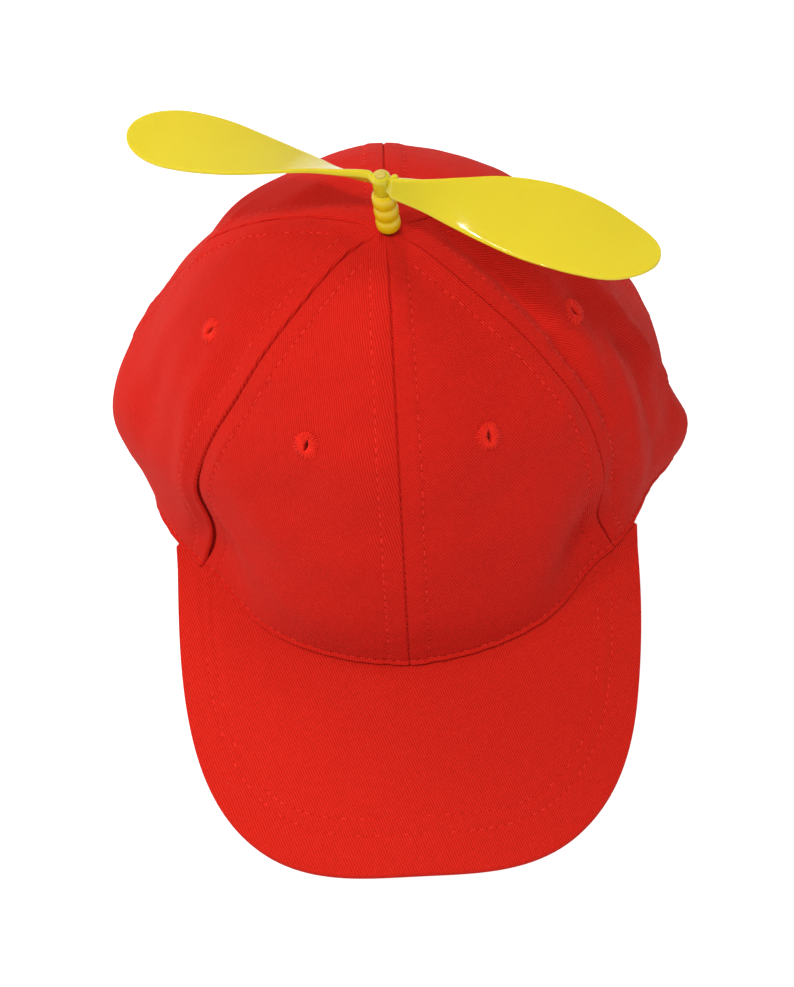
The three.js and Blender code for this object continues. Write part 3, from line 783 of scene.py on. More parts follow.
# How far each piece was turned on the roll when it was cut.
RIB_TURN = {"panel_front_right": 8.5, "panel_front_left": -0.5, "panel_side_right": 15.0,
            "panel_side_left": -4.0, "panel_back_right": 43.0}
print("panel grid", len(ROW_SHARES), "by", len(COLUMN_SHARES))


# %% Laying a panel
def level_at_apex_hole(angle):
    low, high = 0.9, 1.0
    for _ in range(30):
        middle = (low + high) / 2
        if crown_radius(angle, middle) > APEX_CLOSE:
            low = middle
        else:
            high = middle
    return low


def run_of(points, axis):
    """Distance run along rows or columns of a grid of points."""
    steps = np.linalg.norm(np.diff(points, axis=axis), axis=-1)
    zero = np.zeros_like(np.take(steps, [0], axis=axis))
    return np.concatenate([zero, np.cumsum(steps, axis=axis)], axis=axis)


def panel_grid(name):
    """Places, normals and flat millimetres of one panel's cloth."""
    from_seam, to_seam = PANELS[name]
    middle = 0.5 * (from_seam(np.array(1.0)) + to_seam(np.array(1.0)))
    level = ROW_SHARES[:, None] * level_at_apex_hole(float(middle))
    first, last = from_seam(level), to_seam(level)
    slack = [40 < abs(float(seam[0, 0])) < 70 for seam in (first, last)]
    lap = UNDER_LAP if slack[0] else BARE_LAP
    seam_radius = crown_radius(first, level)
    lap = np.degrees(lap[None, :] * (0.02 + 0.98 * step_up(seam_radius, 5, 18)) / seam_radius)
    angle = np.concatenate([first + lap, first + (last - first) * COLUMN_SHARES[None, :]], axis=1)
    level = np.repeat(level, angle.shape[1], axis=1)
    block = crown_point(angle, level)
    normal = crown_normal(angle, level)
    across = run_of(block, 1)
    across = across - across[:, lap.shape[1], None]
    up = run_of(block, 0)
    width = across[:, -1:]
    lift = fold_relief(block) * step_up(up, 0, 14) + slack_relief(block) * step_up(up, 0, 20)
    near = np.minimum(across, width - across)
    calm = step_up(near, 0, 6) * 0.5 + 0.5
    lift = lift * calm
    phase = float(middle) * 0.05
    ends = []
    for away, along, seam, slack_seam, over in ((across, up[:, :1], first, slack[0], -1),
                                                (width - across, up[:, -1:], last, slack[1], 1)):
        gap = (1 - step_up(level, 0.30, 0.46)) * step_up(up, 3, 9) * slack_seam
        left_seam = slack_seam and seam[0, 0] < 0
        over = over * (1.0 if left_seam else 0.75) * slack_seam
        ends.append(seam_relief(away, along, phase, gap, over, 0.0 if left_seam else 1.0))
    radius = np.hypot(block[..., 0], block[..., 1])
    lift = lift + (ends[0] + ends[1]) * step_up(width, 3, 15) + 0.28 * bell(radius, 4.0)
    lift = lift + rim_relief(up, across)
    places = block + normal * lift[..., None]
    places[..., 2] = np.maximum(places[..., 2], 0.0)
    middle_up = up[:, up.shape[1] // 2, None] + 0 * up
    turn = math.radians(RIB_TURN.get(name, 0.0))
    sheet = np.stack([across - width / 2, middle_up], -1)
    flat = sheet @ np.array([[math.cos(turn), math.sin(turn)], [-math.sin(turn), math.cos(turn)]])
    return places, normal, flat, across, up


def delete_near(piece, centre, radius):
    """Deletes the faces of a piece within a radius of a place, in millimetres."""
    only(piece)
    bpy.ops.object.mode_set(mode="EDIT")
    bpy.ops.mesh.select_mode(type="FACE")
    bpy.ops.mesh.select_all(action="DESELECT")
    bpy.ops.object.mode_set(mode="OBJECT")
    for face in piece.data.polygons:
        face.select = (face.center - centre).length < radius * MM
    bpy.ops.object.mode_set(mode="EDIT")
    bpy.ops.mesh.delete(type="FACE")
    bpy.ops.mesh.select_mode(type="VERT")
    bpy.ops.object.mode_set(mode="OBJECT")


def make_panel(name):
    places, normal, flat, across, up = panel_grid(name)
    piece = laid_grid(name + "_cloth", to_metres(places), flat)
    _, where, hand = name.split("_")
    angle, level = EYELET_SPOTS[where]
    angle = angle if hand == "right" else -angle
    spot = crown_point(angle, level)
    nearest = np.linalg.norm(places - spot, axis=-1)
    seat = places[np.unravel_index(nearest.argmin(), nearest.shape)]
    out = crown_normal(np.array(angle), np.array(level))
    seat = spot + out * np.dot(seat - spot, out)
    delete_near(piece, Vector(to_metres(seat)), 2.1)
    apply_modifier(piece, "SOLIDIFY", thickness=CLOTH * MM, offset=-1.0, use_even_offset=False)
    for vertex in piece.data.vertices:
        vertex.co.z = max(vertex.co.z, 0.0)
    smooth(piece, 60)
    piece.data.materials.append(PANEL_CLOTH)
    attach(piece, "cap")
    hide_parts(name)
    return {"places": places, "normal": normal, "across": across, "up": up, "seat": seat, "out": out,
            "angle": angle, "level": level}


panels = {name: make_panel(name) for name in PANELS}

# %% [markdown]
# ## The visor
# A visor is a stiff board between two pieces of twill, turned and closed at its edge. Its cross section
# is laid as one closed ring of points: out along the top, round the edge, and back underneath. Two rows
# of stitches follow the edge, further in at the tip than at the sides. The board's inner edge is tucked
# in under the crown's wall.

# %% Visor sizes
VISOR_ROWS = [
    (68.4, -143.2, 2.98, 0.0),
    (64.4, -137.6, 3.24, -0.8),
]
FIT_TIP = -156.1  # where the edge's tip lies, in the same terms as the rows above
ROUND_STEPS = 9


def visor_row(across, row):
    half_width, tip, squareness, middle = VISOR_ROWS[row]
    return visor_outline(across, half_width, TIP_Y + (tip - FIT_TIP), squareness, middle)


def board_wave(plan):
    """The board's slight unevenness."""
    wave = np.sin(plan[..., 0] / 9.0 + 0.6) * np.sin(plan[..., 1] / 13.0) * 0.10
    return wave + np.sin(plan[..., 0] / 4.1 + plan[..., 1] / 6.3) * 0.035


def visor_relief(plan, out):
    """Grooves of the two rows and the board's slight unevenness."""
    total = np.zeros(plan.shape[:-1])
    flat = plan.reshape(-1, 2)
    for row in (0, 1):
        line = visor_row(np.linspace(-0.97, 0.97, 260), row)
        gap = np.full(len(flat), 1e9)
        for part in np.array_split(line, 13):
            gap = np.minimum(gap, np.linalg.norm(flat[:, None] - part[None], axis=-1).min(1))
        total -= (0.30 * bell(gap, 0.8)).reshape(total.shape)
        total += (0.06 * bell(gap - 2.2, 1.2)).reshape(total.shape)
    return total + board_wave(plan) * out


# %% Laying the visor
def visor_section(across_count=190):
    across = np.linspace(-1, 1, across_count)
    inner = rim_point(across * VISOR_CORNER, VISOR_TUCK)
    edge = visor_edge(across, 1.1)
    wide = step_up(np.abs(edge[:, 0]), 50, 76)
    rear = step_up(edge[:, 1], -95, -45)
    edge[:, 0] += wide * np.where(edge[:, 0] > 0, 1.2 + 1.3 * rear, -0.7)
    outs = uneven(68.0, 0.75, 22.0, 1.9, False)
    outs = 1 - outs[::-1]
    rows, flats = [], []
    for out in outs:
        plan = inner + (edge - inner) * out
        top = visor_top(plan) + visor_relief(plan, out)
        rows.append(np.concatenate([plan, top[:, None]], 1))
        flats.append(plan)
    outward = edge - inner
    outward = outward / np.linalg.norm(outward, axis=1, keepdims=True)
    for k in range(1, ROUND_STEPS):
        turn = math.pi * k / ROUND_STEPS
        seam = 0.22 * bell(turn - math.pi / 2, 0.28)
        plan = edge + outward * (1.1 * math.sin(turn) - seam)
        height = visor_top(edge) - VISOR_THICKNESS / 2 * (1 - math.cos(turn))
        rows.append(np.concatenate([plan, height[:, None]], 1))
        flats.append(edge + outward * (1.1 * turn))
    for out in outs[::-1]:
        plan = inner + (edge - inner) * out
        low = visor_top(plan) - VISOR_THICKNESS - visor_relief(plan, out)
        rows.append(np.concatenate([plan, np.maximum(low, 0.0)[:, None]], 1))
        flats.append(plan * [1, -1])
    rows.append(rows[0])
    flats.append(flats[0])
    return np.array(rows), np.array(flats)


visor_places, visor_flat = visor_section()
visor = laid_grid("visor_cloth", to_metres(visor_places), visor_flat)
merge_and_turn_out(visor)
fill_open_ends(visor)
smooth(visor, 60)
visor.data.materials.append(VISOR_CLOTH)
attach(visor, "cap")
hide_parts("visor")
print("visor", len(visor.data.polygons), "faces")

# %% [markdown]
# ## Stitches
# One stitch is modelled once: a short round thread whose ends dive into the cloth. It begins as a small
# sphere, is stretched, and its ends are bent down. A copy goes to every place along each row. Between
# two stitches the needle left a hole, and a small dark disc there is painted shade of the hole.


# %% One stitch and one hole
def make_stitch():
    bpy.ops.object.select_all(action="DESELECT")
    bpy.ops.mesh.primitive_uv_sphere_add(segments=6, ring_count=6, radius=0.5 * MM,
                                         rotation=(0, math.pi / 2, 0))
    stitch = named(bpy.context.object, "stitch_pattern")
    bpy.ops.object.transform_apply(location=True, rotation=True, scale=True)
    bpy.ops.transform.resize(value=(STITCH_PITCH * 0.86, THREAD, THREAD * 0.85))
    bpy.ops.object.transform_apply(location=True, rotation=True, scale=True)
    half = STITCH_PITCH * 0.43 * MM
    for vertex in stitch.data.vertices:
        share = vertex.co.x / half
        vertex.co.z -= 0.30 * MM * share ** 4
        vertex.co.y += 0.05 * MM * share
    return stitch


# A small dark disc for each needle hole: painted shade of the hole.
def make_hole_shade():
    bpy.ops.object.select_all(action="DESELECT")
    bpy.ops.mesh.primitive_circle_add(vertices=7, radius=0.15 * MM, fill_type="TRIFAN")
    hole = named(bpy.context.object, "hole_shade_pattern")
    in_edit(hole, lambda: bpy.ops.mesh.extrude_region_move(
        TRANSFORM_OT_translate={"value": (0, 0, 0.1 * MM)}))
    in_edit(hole, lambda: bpy.ops.mesh.normals_make_consistent(inside=False))
    return hole


stitch_pattern = make_stitch()
hole_shade_pattern = make_hole_shade()


# %% Rows of stitches
def resample(line, normals, pitch, start):
    """Points, directions and normals at even steps along a line."""
    run = np.concatenate([[0], np.cumsum(np.linalg.norm(np.diff(line, axis=0), axis=1))])
    at = np.arange(start, run[-1] - start, pitch)
    pick = lambda values, places: np.stack([np.interp(places, run, values[:, k]) for k in range(3)], -1)
    points = pick(line, at)
    ahead = pick(line, np.minimum(at + 0.5, run[-1])) - pick(line, np.maximum(at - 0.5, 0))
    return points, ahead, pick(normals, at)


def seat_matrices(points, ahead, normals, lifts):
    """Places for copies of a pattern along a row, each lifted off the cloth or pulled into it."""
    matrices = []
    for point, way, normal, lift in zip(points, ahead, normals, lifts):
        out = Vector(normal).normalized()
        x_axis = Vector(way)
        x_axis = (x_axis - out * x_axis.dot(out)).normalized()
        y_axis = out.cross(x_axis)
        turn = Matrix((x_axis, y_axis, out)).transposed().to_4x4()
        place = Vector(to_metres(point)) + out * lift * MM
        matrices.append(Matrix.Translation(place) @ turn)
    return matrices


def sew_rows(name, lines):
    """Stitches, and dark discs of painted shade at the needle holes, along several lines, as two pieces."""
    rng = np.random.default_rng(5)
    stitches, holes = [], []
    for line, normals in lines:
        points, ahead, out = resample(line, normals, STITCH_PITCH, STITCH_PITCH / 2)
        stitches += seat_matrices(points, ahead, out, rng.uniform(-0.17, 0.05, len(points)))
        points, ahead, out = resample(line, normals, STITCH_PITCH, STITCH_PITCH)
        holes += seat_matrices(points, ahead, out, np.full(len(points), -0.02))
    for part, pattern, matrices, material in (("stitches", stitch_pattern, stitches, STITCH_THREAD),
                                              ("holes", hole_shade_pattern, holes, NEEDLE_HOLE_SHADE)):
        piece = strewn(name + "_" + part, pattern, matrices)
        smooth(piece, 60)
        piece.data.materials.append(material)
        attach(piece, "cap")
    return len(stitches)


def panel_line(panel, distance, side):
    """The line at a distance from one seam, up a panel, as far as the panel is wide enough."""
    across, places, normal = panel["across"], panel["places"], panel["normal"]
    width = across[:, -1]
    wanted = np.full(len(width), distance) if side == "first" else width - distance
    keep = width > 2 * distance + 1.2
    line = [[np.interp(w, row, p[:, k]) for k in range(3)]
            for w, row, p in zip(wanted[keep], across[keep], places[keep])]
    outs = [[np.interp(w, row, n[:, k]) for k in range(3)]
            for w, row, n in zip(wanted[keep], across[keep], normal[keep])]
    start = int(np.searchsorted(panel["up"][:, 0], RIM_ROW + 1.5))
    return np.array(line)[start:], np.array(outs)[start:]


def rim_line(panel):
    up, places, normal = panel["up"], panel["places"], panel["normal"]
    shown = np.flatnonzero(panel["across"][0] >= 0)
    line = [[np.interp(RIM_ROW, up[:, c], places[:, c, k]) for k in range(3)] for c in shown]
    outs = [[np.interp(RIM_ROW, up[:, c], normal[:, c, k]) for k in range(3)] for c in shown]
    return np.array(line), np.array(outs)


sewn = 0
for name, panel in panels.items():
    lines = [panel_line(panel, SEAM_ROW, "first"), panel_line(panel, SEAM_ROW, "last"), rim_line(panel)]
    sewn += sew_rows(name, lines)
print("stitches in the crown", sewn)


# %% Rows on the visor
def visor_stitch_line(row, below):
    plan = visor_row(np.linspace(-0.965, 0.965, 400), row)
    relief = 0.88 * board_wave(plan) - 0.26
    height = visor_top(plan) - VISOR_THICKNESS - relief if below else visor_top(plan) + relief
    line = np.concatenate([plan, height[:, None]], 1)
    slope_x = -2 * VISOR_ARCH * plan[:, 0] / VISOR_HALF_WIDTH ** 2
    normal = np.stack([-slope_x, np.full(len(plan), -math.tan(VISOR_SLOPE)), np.ones(len(plan))], -1)
    normal = normal / np.linalg.norm(normal, axis=1, keepdims=True)
    return line, -normal if below else normal


sewn = sew_rows("visor", [visor_stitch_line(row, below) for row in (0, 1) for below in (False, True)])
print("stitches in the visor", sewn)
forget(stitch_pattern)
forget(hole_shade_pattern)

# %% [markdown]
# ## Eyelets
# A vent eyelet is a slit bound with satin stitch: some four dozen threads that each rise out of the slit
# and run outwards over the cloth. One eyelet is built from a low ring underneath and one bent thread,
# copied round with small differences in length, and the six eyelets are copies of it.

# %% Eyelet sizes
EYELET_RADIUS = 4.5
SLIT_LENGTH = 4.0
SLIT_WIDTH = 1.5
THREADS_ROUND = 34


def slit_radius(turn):
    aside = abs(math.cos(turn) / (SLIT_WIDTH / 2)) ** 1.5
    up = abs(math.sin(turn) / (SLIT_LENGTH / 2)) ** 1.5
    return (aside + up) ** (-1 / 1.5)


def thread_tube(name, path, radius, sides=6):
    """A closed tube of thread along a path of points in a plane through the Z axis."""
    path = np.array(path)
    ahead = np.gradient(path, axis=0)
    ahead = ahead / np.linalg.norm(ahead, axis=1, keepdims=True)
    side = np.array([0.0, 1.0, 0.0])
    rings = []
    for point, way, share in zip(path, ahead, np.linspace(0, 1, len(path))):
        up = np.cross(way, side)
        thick = radius * (0.55 + 0.45 * math.sin(math.pi * min(max(share, 0.08), 0.92)))
        turns = [2 * math.pi * k / sides for k in range(sides + 1)]
        rings.append([point + (side * math.cos(t) + up * math.sin(t)) * thick for t in turns])
    piece = laid_grid(name, np.array(rings) * MM)
    merge_and_turn_out(piece)
    fill_open_ends(piece)
    return piece


# %% One eyelet
def make_eyelet():
    rng = np.random.default_rng(11)
    parts = []
    ring = []
    for turn in np.linspace(0, 2 * math.pi, THREADS_ROUND * 2 + 1):
        inner = slit_radius(turn) + 0.12
        section = [(inner, -1.9), (inner, -0.05), ((inner + EYELET_RADIUS) / 2, 0.16),
                   (EYELET_RADIUS - 0.5, -0.05), (EYELET_RADIUS - 0.6, -0.3), (2.9, -0.4), (2.6, -1.8),
                   (3.9, -1.85), (3.4, -2.15), (inner, -1.9)]
        ring.append([(r * math.cos(turn), r * math.sin(turn), z) for r, z in section])
    base = laid_grid("eyelet_base", np.array(ring) * MM)
    merge_and_turn_out(base)
    parts.append(base)
    for k in range(THREADS_ROUND):
        turn = 2 * math.pi * (k + rng.uniform(-0.12, 0.12)) / THREADS_ROUND
        inner = slit_radius(turn)
        outer = EYELET_RADIUS + rng.uniform(-0.45, 0.15)
        rise = 0.56 + rng.uniform(-0.08, 0.08) - 0.16 * (k % 2)
        path = [(inner + 0.18, 0, -0.9), (inner + 0.05, 0, -0.2), (inner + 0.30, 0, rise * 0.75),
                (inner + 0.35 * (outer - inner), 0, rise), (inner + 0.7 * (outer - inner), 0, rise * 0.8),
                (outer - 0.12, 0, 0.22), (outer, 0, -0.15)]
        strand = thread_tube("strand", path, 0.27)
        strand.data.transform(Matrix.Rotation(turn, 4, "Z"))
        parts.append(strand)
    bpy.ops.object.select_all(action="DESELECT")
    for part in parts:
        part.select_set(True)
    bpy.context.view_layer.objects.active = base
    bpy.ops.object.join()
    eyelet = named(base, "eyelet_pattern")
    smooth(eyelet, 60)
    return eyelet


eyelet_pattern = make_eyelet()
print("eyelet", len(eyelet_pattern.data.polygons), "faces")


# %% Six eyelets
def seat_eyelet(name, panel):
    angle, level = np.array(panel["angle"]), np.array(panel["level"])
    out = Vector(panel["out"])
    up = Vector(crown_point(angle, level + 0.02) - crown_point(angle, level - 0.02))
    up = (up - out * up.dot(out)).normalized()
    turn = Matrix((up.cross(out), up, out)).transposed().to_4x4()
    piece = bpy.data.objects.new(name + "_thread", eyelet_pattern.data.copy())
    bpy.context.collection.objects.link(piece)
    lean = Matrix.Rotation(math.radians(-8), 4, "Z")
    piece.data.transform(Matrix.Translation(Vector(to_metres(panel["seat"]))) @ turn @ lean)
    piece.data.materials.clear()
    piece.data.materials.append(EYELET_THREAD)
    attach(piece, "cap")
    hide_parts(name)


for name, panel in panels.items():
    seat_eyelet(name.replace("panel", "eyelet"), panel)
forget(eyelet_pattern)

# %% [markdown]
# ## Stem and pin
# The stem is moulded like three beads on a tube, and the pin goes down through it to a disc inside the
# crown. Both are turned shapes. They are made upright at the axis, and then their meshes are leaned to
# where the cap carries them.

# %% Mast sizes
STEM_SHIFT = 0.7
LEAN_LEFT = math.radians(4.3)
LEAN_FORWARD = math.radians(1.7)
BEAD_RADIUS = 3.9
BEAD_PITCH = 5.1
BEAD_WAIST = 3.2
STEM_FOOT = 2.9
BORE = 1.4
PIN_RADIUS = 1.2
PIN_HEAD = (1.75, 1.1)
HUB_RADIUS = 2.9
HUB_HEIGHT = 6.9
FOOT_LIFT = 0.3 + STEM_FOOT * math.sin(LEAN_LEFT)
BEAD_TOP = FOOT_LIFT + 2.5 * BEAD_PITCH + BEAD_PITCH * 0.72
HUB_BOTTOM = BEAD_TOP + 0.3
HUB_TOP = HUB_BOTTOM + HUB_HEIGHT
HEAD_SEAT = HUB_TOP - PIN_HEAD[1] + 0.3

MAST_AXIS = Vector((-math.tan(LEAN_LEFT), -math.tan(LEAN_FORWARD), 1)).normalized()
MAST_FOOT = Vector(to_metres(np.array([STEM_SHIFT, 0.0, CROWN_HEIGHT])))
MAST = Matrix.Translation(MAST_FOOT) @ Vector((0, 0, 1)).rotation_difference(MAST_AXIS).to_matrix().to_4x4()


def onto_mast(piece, lift=0.0):
    piece.data.transform(MAST @ Matrix.Translation((0, 0, lift * MM)))


# %% Turning the stem and the pin
def rounded(radius, height, start, end, count, bulge=1.0):
    """Points of an arc round a swelling, as (radius, height) pairs."""
    return [(radius[0] + (radius[1] - radius[0]) * math.cos(t) ** bulge, height[0] + height[1] * math.sin(t))
            for t in np.linspace(start, end, count)]


def make_stem():
    profile = [(BORE, FOOT_LIFT + 0.3), (BORE + 0.2, FOOT_LIFT), (STEM_FOOT - 0.4, FOOT_LIFT)]
    for bead in range(3):
        centre = FOOT_LIFT + (bead + 0.62) * BEAD_PITCH
        low = -1.15 if bead == 0 else -0.98
        high = 1.42 if bead == 2 else 0.98
        profile += rounded((BEAD_WAIST - 0.5, BEAD_RADIUS), (centre, BEAD_PITCH * 0.52), low, high, 12, 0.9)
    profile += [(HUB_RADIUS * 0.86, BEAD_TOP - 0.15), (HUB_RADIUS * 0.8, BEAD_TOP), (BORE + 0.2, BEAD_TOP),
                (BORE, BEAD_TOP - 0.3), profile[0]]
    piece = turned("stem_beads", profile)
    onto_mast(piece)
    smooth(piece, 50)
    return piece


def make_pin():
    sag = 6.0 * math.sin(LEAN_LEFT + LEAN_FORWARD) + 0.36
    top = -CLOTH - 0.3 - sag
    radius, height = PIN_HEAD
    profile = [(0, top - 1.2), (5.5, top - 1.2), (5.9, top - 1.05), (6, top - 0.8), (6, top - 0.25),
               (5.85, top), (PIN_RADIUS + 0.2, top), (PIN_RADIUS, top + 0.2), (PIN_RADIUS, HEAD_SEAT),
               (radius - 0.1, HEAD_SEAT), (radius, HEAD_SEAT + 0.15), (radius, HEAD_SEAT + height * 0.84),
               (radius * 0.97, HEAD_SEAT + height * 0.91), (radius * 0.88, HEAD_SEAT + height * 0.96),
               (radius * 0.5, HEAD_SEAT + height * 0.99), (0, HEAD_SEAT + height)]
    piece = turned("pin_turned", profile, 40)
    onto_mast(piece)
    smooth(piece, 50)
    return piece


stem = make_stem()
pin = make_pin()
for piece, node, material, slot in ((stem, "stem", STEM_YELLOW, "yellow_plastic"),
                                    (pin, "axle", PIN_YELLOW, "pin_plastic")):
    piece.data.materials.append(material)
    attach(piece, "cap")
    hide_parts(node)
print("stem", len(stem.data.polygons), "pin", len(pin.data.polygons))

# %% [markdown]
# ## The propeller
# A moulded blade is a row of sections, each with its own width, pitch and place. Near the hub it stands
# nearly on edge, and at the tip it lies flat. The table is the same as the solid's. A smooth curve
# through it gives many more sections, each with a rounded edge, and a Boolean joins the blades to the
# hub. A little rim runs round each blade, and the mould left a small nub beside the hub.

# %% Blade table
SPAN = 176.0
BLADE_YAW = math.radians(-19.9)
BLADE_CHORD = 27.8
BLADE_THICKNESS = 1.7
ROOT_THICKNESS = 3.1
BLADE = np.array([
    [0.028, 0.210, 64.0, -0.055, 0.000],
    [0.040, 0.225, 63.0, -0.057, 0.000],
    [0.160, 0.351, 46.0, -0.072, -0.020],
    [0.280, 0.551, 30.0, -0.104, -0.014],
    [0.400, 0.768, 22.0, -0.118, -0.022],
    [0.520, 0.926, 16.0, -0.147, -0.040],
    [0.640, 1.000, 10.5, -0.190, -0.054],
    [0.760, 0.972, 5.5, -0.244, -0.090],
    [0.880, 0.802, 0.0, -0.300, -0.135],
    [0.955, 0.550, -3.0, -0.316, -0.142],
    [0.990, 0.280, -4.0, -0.320, -0.142],
    [1.000, 0.100, -4.0, -0.322, -0.141],
])


def smooth_table(at):
    """Monotone-ish cubic curves through the table's columns, at shares of the half span."""
    knots = BLADE[:, 0]
    values = BLADE[:, 1:]
    slope = np.gradient(values, knots, axis=0)
    k = np.clip(np.searchsorted(knots, at) - 1, 0, len(knots) - 2)
    wide = (knots[k + 1] - knots[k])[:, None]
    t = ((at - knots[k]) / (knots[k + 1] - knots[k]))[:, None]
    a, b = values[k], values[k + 1]
    return ((2 * t ** 3 - 3 * t ** 2 + 1) * a + (t ** 3 - 2 * t ** 2 + t) * wide * slope[k]
            + (3 * t ** 2 - 2 * t ** 3) * b + (t ** 3 - t ** 2) * wide * slope[k + 1])


# %% Blades and hub
SECTION_POINTS = 40
TIP_START = 0.76  # from here on the blade's end is rounded like an ellipse


def blade_section(chord, thickness):
    """A flat oval with full edges: along and across, in millimetres."""
    turn = np.linspace(0, 2 * math.pi, SECTION_POINTS + 1)
    along = np.sign(np.cos(turn)) * np.abs(np.cos(turn)) ** 0.9 * chord / 2
    across = np.sign(np.sin(turn)) * np.abs(np.sin(turn)) ** 0.42 * thickness / 2
    hollow = 1 - 0.16 * step_up(chord / 2 - np.abs(along), 0.6, 2.4)
    return along, across * hollow


def make_blade(turn):
    swing = np.radians(np.linspace(0, 88.5, 40))
    at = np.concatenate([np.linspace(0.017, 0.07, 18)[:-1], np.linspace(0.07, TIP_START, 60)[:-1],
                         TIP_START + (1 - TIP_START) * np.sin(swing)])
    shape = smooth_table(np.maximum(at, BLADE[0, 0]))
    rings = []
    for out, (chord_share, pitch, behind, above) in zip(at, shape):
        chord = chord_share * BLADE_CHORD
        if out > TIP_START:
            turned_by = math.asin((out - TIP_START) / (1 - TIP_START))
            chord = BLADE_CHORD * 0.972 * math.cos(turned_by) * (1 - 0.05 * math.sin(2 * turned_by))
        thin = float(step_up(np.array(out), 0.03, 0.35))
        thickness = (ROOT_THICKNESS + (BLADE_THICKNESS - ROOT_THICKNESS) * thin)
        thickness = thickness * min(1.0, 0.5 + chord / 12)
        root = float(step_up(np.array(out * SPAN / 2), 1.5, 4.4))  # 0 in the hub, 1 where the blade is itself
        chord, behind = chord * (0.90 + 0.10 * root), behind * root
        thickness += 0.5 * (1 - root)
        along, across = blade_section(chord, thickness)
        c, s = math.cos(math.radians(pitch)), math.sin(math.radians(pitch))
        y = behind * BLADE_CHORD + along * c - across * s
        z = above * BLADE_CHORD + along * s + across * c
        rings.append(np.stack([np.full_like(y, out * SPAN / 2), y, z], -1))
    blade = laid_grid("blade", np.array(rings) * MM)
    merge_and_turn_out(blade)
    fill_open_ends(blade)
    blade.data.transform(Matrix.Translation((0, 0, HUB_HEIGHT / 2 * MM)) @ Matrix.Rotation(turn, 4, "Z"))
    return blade


def make_hub():
    recess = PIN_HEAD[0] + 0.03
    seat = HEAD_SEAT - HUB_BOTTOM - 0.3
    top = HUB_HEIGHT
    profile = [(BORE, 0.15), (BORE + 0.15, 0), (HUB_RADIUS - 0.35, 0), (HUB_RADIUS - 0.1, 0.12),
               (HUB_RADIUS, 0.4),
               (HUB_RADIUS, top - 1.5), (HUB_RADIUS * 0.985, top - 1.1), (HUB_RADIUS * 0.94, top - 0.72),
               (HUB_RADIUS * 0.86, top - 0.38), (HUB_RADIUS * 0.77, top - 0.14), (recess + 0.05, top - 0.03),
               (recess, top - 0.08), (recess, seat), (BORE, seat), (BORE, 0.15)]
    return turned("propeller_moulding", profile, 56)


propeller = make_hub()
for turn in (BLADE_YAW, BLADE_YAW + math.pi):
    blade = make_blade(turn)
    apply_modifier(propeller, "BOOLEAN", operation="UNION", solver="EXACT", object=blade)
    forget(blade)


# %% The nub
def add_bead(place, size):
    """A small rounded nub joined to the moulding, in millimetres on the mast."""
    bpy.ops.object.select_all(action="DESELECT")
    bpy.ops.mesh.primitive_uv_sphere_add(segments=16, ring_count=10, radius=0.5 * MM)
    nub = bpy.context.object
    bpy.ops.transform.resize(value=size)
    bpy.ops.object.transform_apply(location=True, rotation=True, scale=True)
    nub.data.transform(Matrix.Translation(Vector(place) * MM))
    apply_modifier(propeller, "BOOLEAN", operation="UNION", solver="EXACT", object=nub)
    forget(nub)


yaw_x, yaw_y = math.cos(BLADE_YAW), math.sin(BLADE_YAW)
add_bead((4.3 * yaw_x - 0.4 * yaw_y, 4.3 * yaw_y + 0.4 * yaw_x, HUB_HEIGHT / 2 + 2.9), (2.2, 1.7, 1.6))
onto_mast(propeller, HUB_BOTTOM)
smooth(propeller, 45)
propeller.data.materials.append(YELLOW)
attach(propeller, "propeller")
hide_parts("propeller")
print("propeller", len(propeller.data.polygons), "faces")

# %% [markdown]
# ## Studio
# The photograph was lit softly from the front and above, a little stronger on the left, against white.
# A pale floor, a pale world and six soft lamps do the same, and one small lamp that shows in mirrors
# gives the plastic its sharp highlight. The lamps' strengths were fitted to the photograph, then rounded
# and partly changed.


# %% Floor and lights
def bright_to_the_camera(tree, seen, given):
    """A strength that is one value where the camera looks and another where it lights the cap."""
    b = Board(tree)
    path = b.node("LightPath")
    return b.maths("ADD", b.maths("MULTIPLY", path.outputs["Is Camera Ray"], seen - given), given)


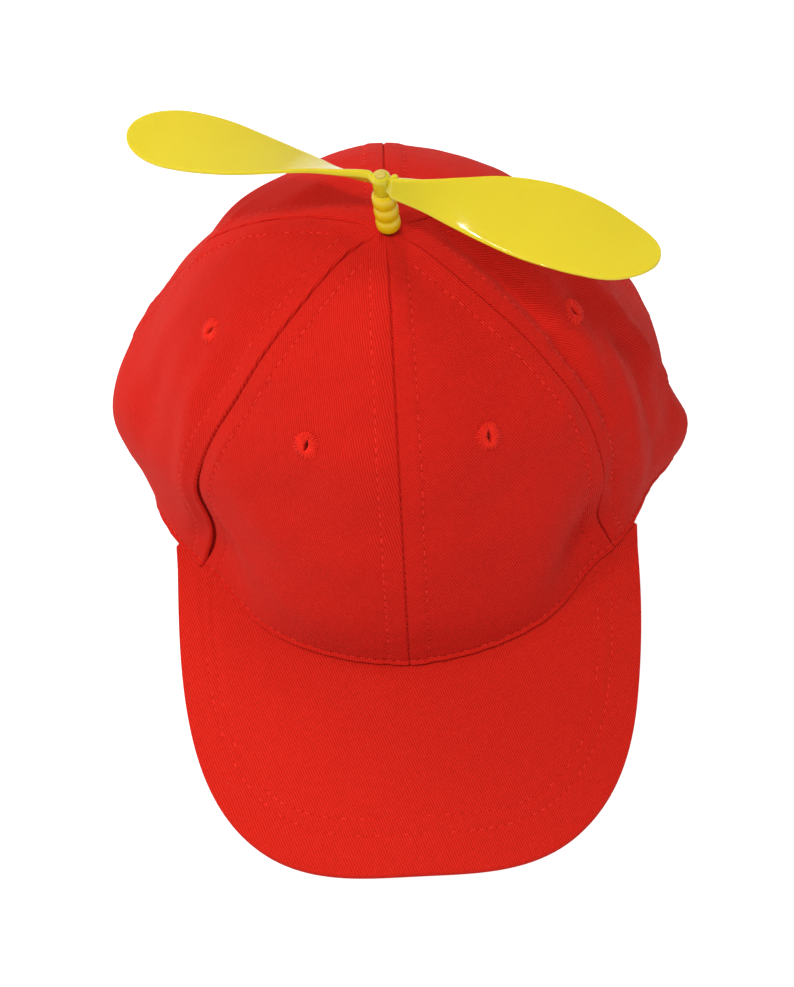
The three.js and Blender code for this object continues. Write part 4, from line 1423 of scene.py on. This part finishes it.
def make_floor():
    """Pale paper, whose own faint glow washes the shadows out, as bright light on paper does."""
    bpy.ops.object.select_all(action="DESELECT")
    bpy.ops.mesh.primitive_plane_add(size=8)
    floor = named(bpy.context.object, "studio_floor")
    material, b, shader = new_material("pale paper sweep")
    place = b.node("TexCoord").outputs["Object"]
    tone = b.between(b.noise(place, 3.0, 3.0), 0.3, 0.7)
    b.wire(b.mix(tone, (0.34, 0.34, 0.34, 1), (0.37, 0.37, 0.37, 1)), shader.inputs["Base Color"])
    shader.inputs["Roughness"].default_value = 0.9
    shader.inputs["Emission Color"].default_value = (1, 1, 1, 1)
    centre = b.node("VectorMath", operation="DISTANCE")
    b.wire(place, centre.inputs[0])
    centre.inputs[1].default_value = (-0.0015, 0.0297, 0.0)
    outside = b.between(centre.outputs["Value"], 0.070, 0.086)
    glow = bright_to_the_camera(material.node_tree, 0.92, 0.62)
    b.wire(b.maths("MULTIPLY", glow, outside), shader.inputs["Emission Strength"])
    clear = b.node("BsdfTransparent")
    seen_from_below = b.node("MixShader")
    b.wire(b.node("NewGeometry").outputs["Backfacing"], seen_from_below.inputs["Fac"])
    b.wire(shader.outputs[0], seen_from_below.inputs[1])
    b.wire(clear.outputs[0], seen_from_below.inputs[2])
    sheet_end = next(n for n in material.node_tree.nodes if n.type == "OUTPUT_MATERIAL")
    b.wire(seen_from_below.outputs[0], sheet_end.inputs["Surface"])
    floor.data.materials.append(material)
    floor.location.z = -0.0002
    bpy.ops.object.transform_apply(location=True)


def add_lamp(name, place, size, watts, mirrored, aim=(0.0, 0.0, 0.07)):
    data = bpy.data.lights.new(name, "AREA")
    data.shape = "DISK"
    data.size = size
    data.energy = watts
    lamp = bpy.data.objects.new(name, data)
    lamp.location = place
    lamp.visible_glossy = mirrored
    way = Vector(aim) - Vector(place)
    lamp.rotation_euler = way.to_track_quat("-Z", "Y").to_euler()
    bpy.context.collection.objects.link(lamp)


make_floor()
# Each lamp: its place in metres, the width of its disc, its watts, and whether gloss mirrors it.
LAMPS = [
    ("left_low", (-1.10, 0.50, 0.45), 0.60, 6.7, False),
    ("right", (0.95, -0.10, 1.00), 0.90, 3.4, False),
    ("low_front", (0.0, -1.30, 0.75), 0.80, 3.4, False),
    ("back", (-0.25, 0.85, 1.20), 0.40, 6.1, False),
    ("key", (-0.22, -0.62, 1.55), 0.22, 10.4, False),
    ("left_front", (-0.70, -0.45, 1.33), 0.16, 5.0, False),
    ("glint", (-0.76, -0.08, 1.38), 0.07, 1.4, True),
]
for name, place, size, watts, mirrored in LAMPS:
    add_lamp(name, place, size, watts, mirrored)

world = bpy.data.worlds.new("studio")
world.use_nodes = True
background = world.node_tree.nodes["Background"]
background.inputs["Color"].default_value = (1, 1, 1, 1)
world.node_tree.links.new(bright_to_the_camera(world.node_tree, 1.0, 0.40), background.inputs["Strength"])
bpy.context.scene.world = world
bpy.context.scene.view_settings.view_transform = "Standard"
bpy.context.scene.view_settings.look = "None"
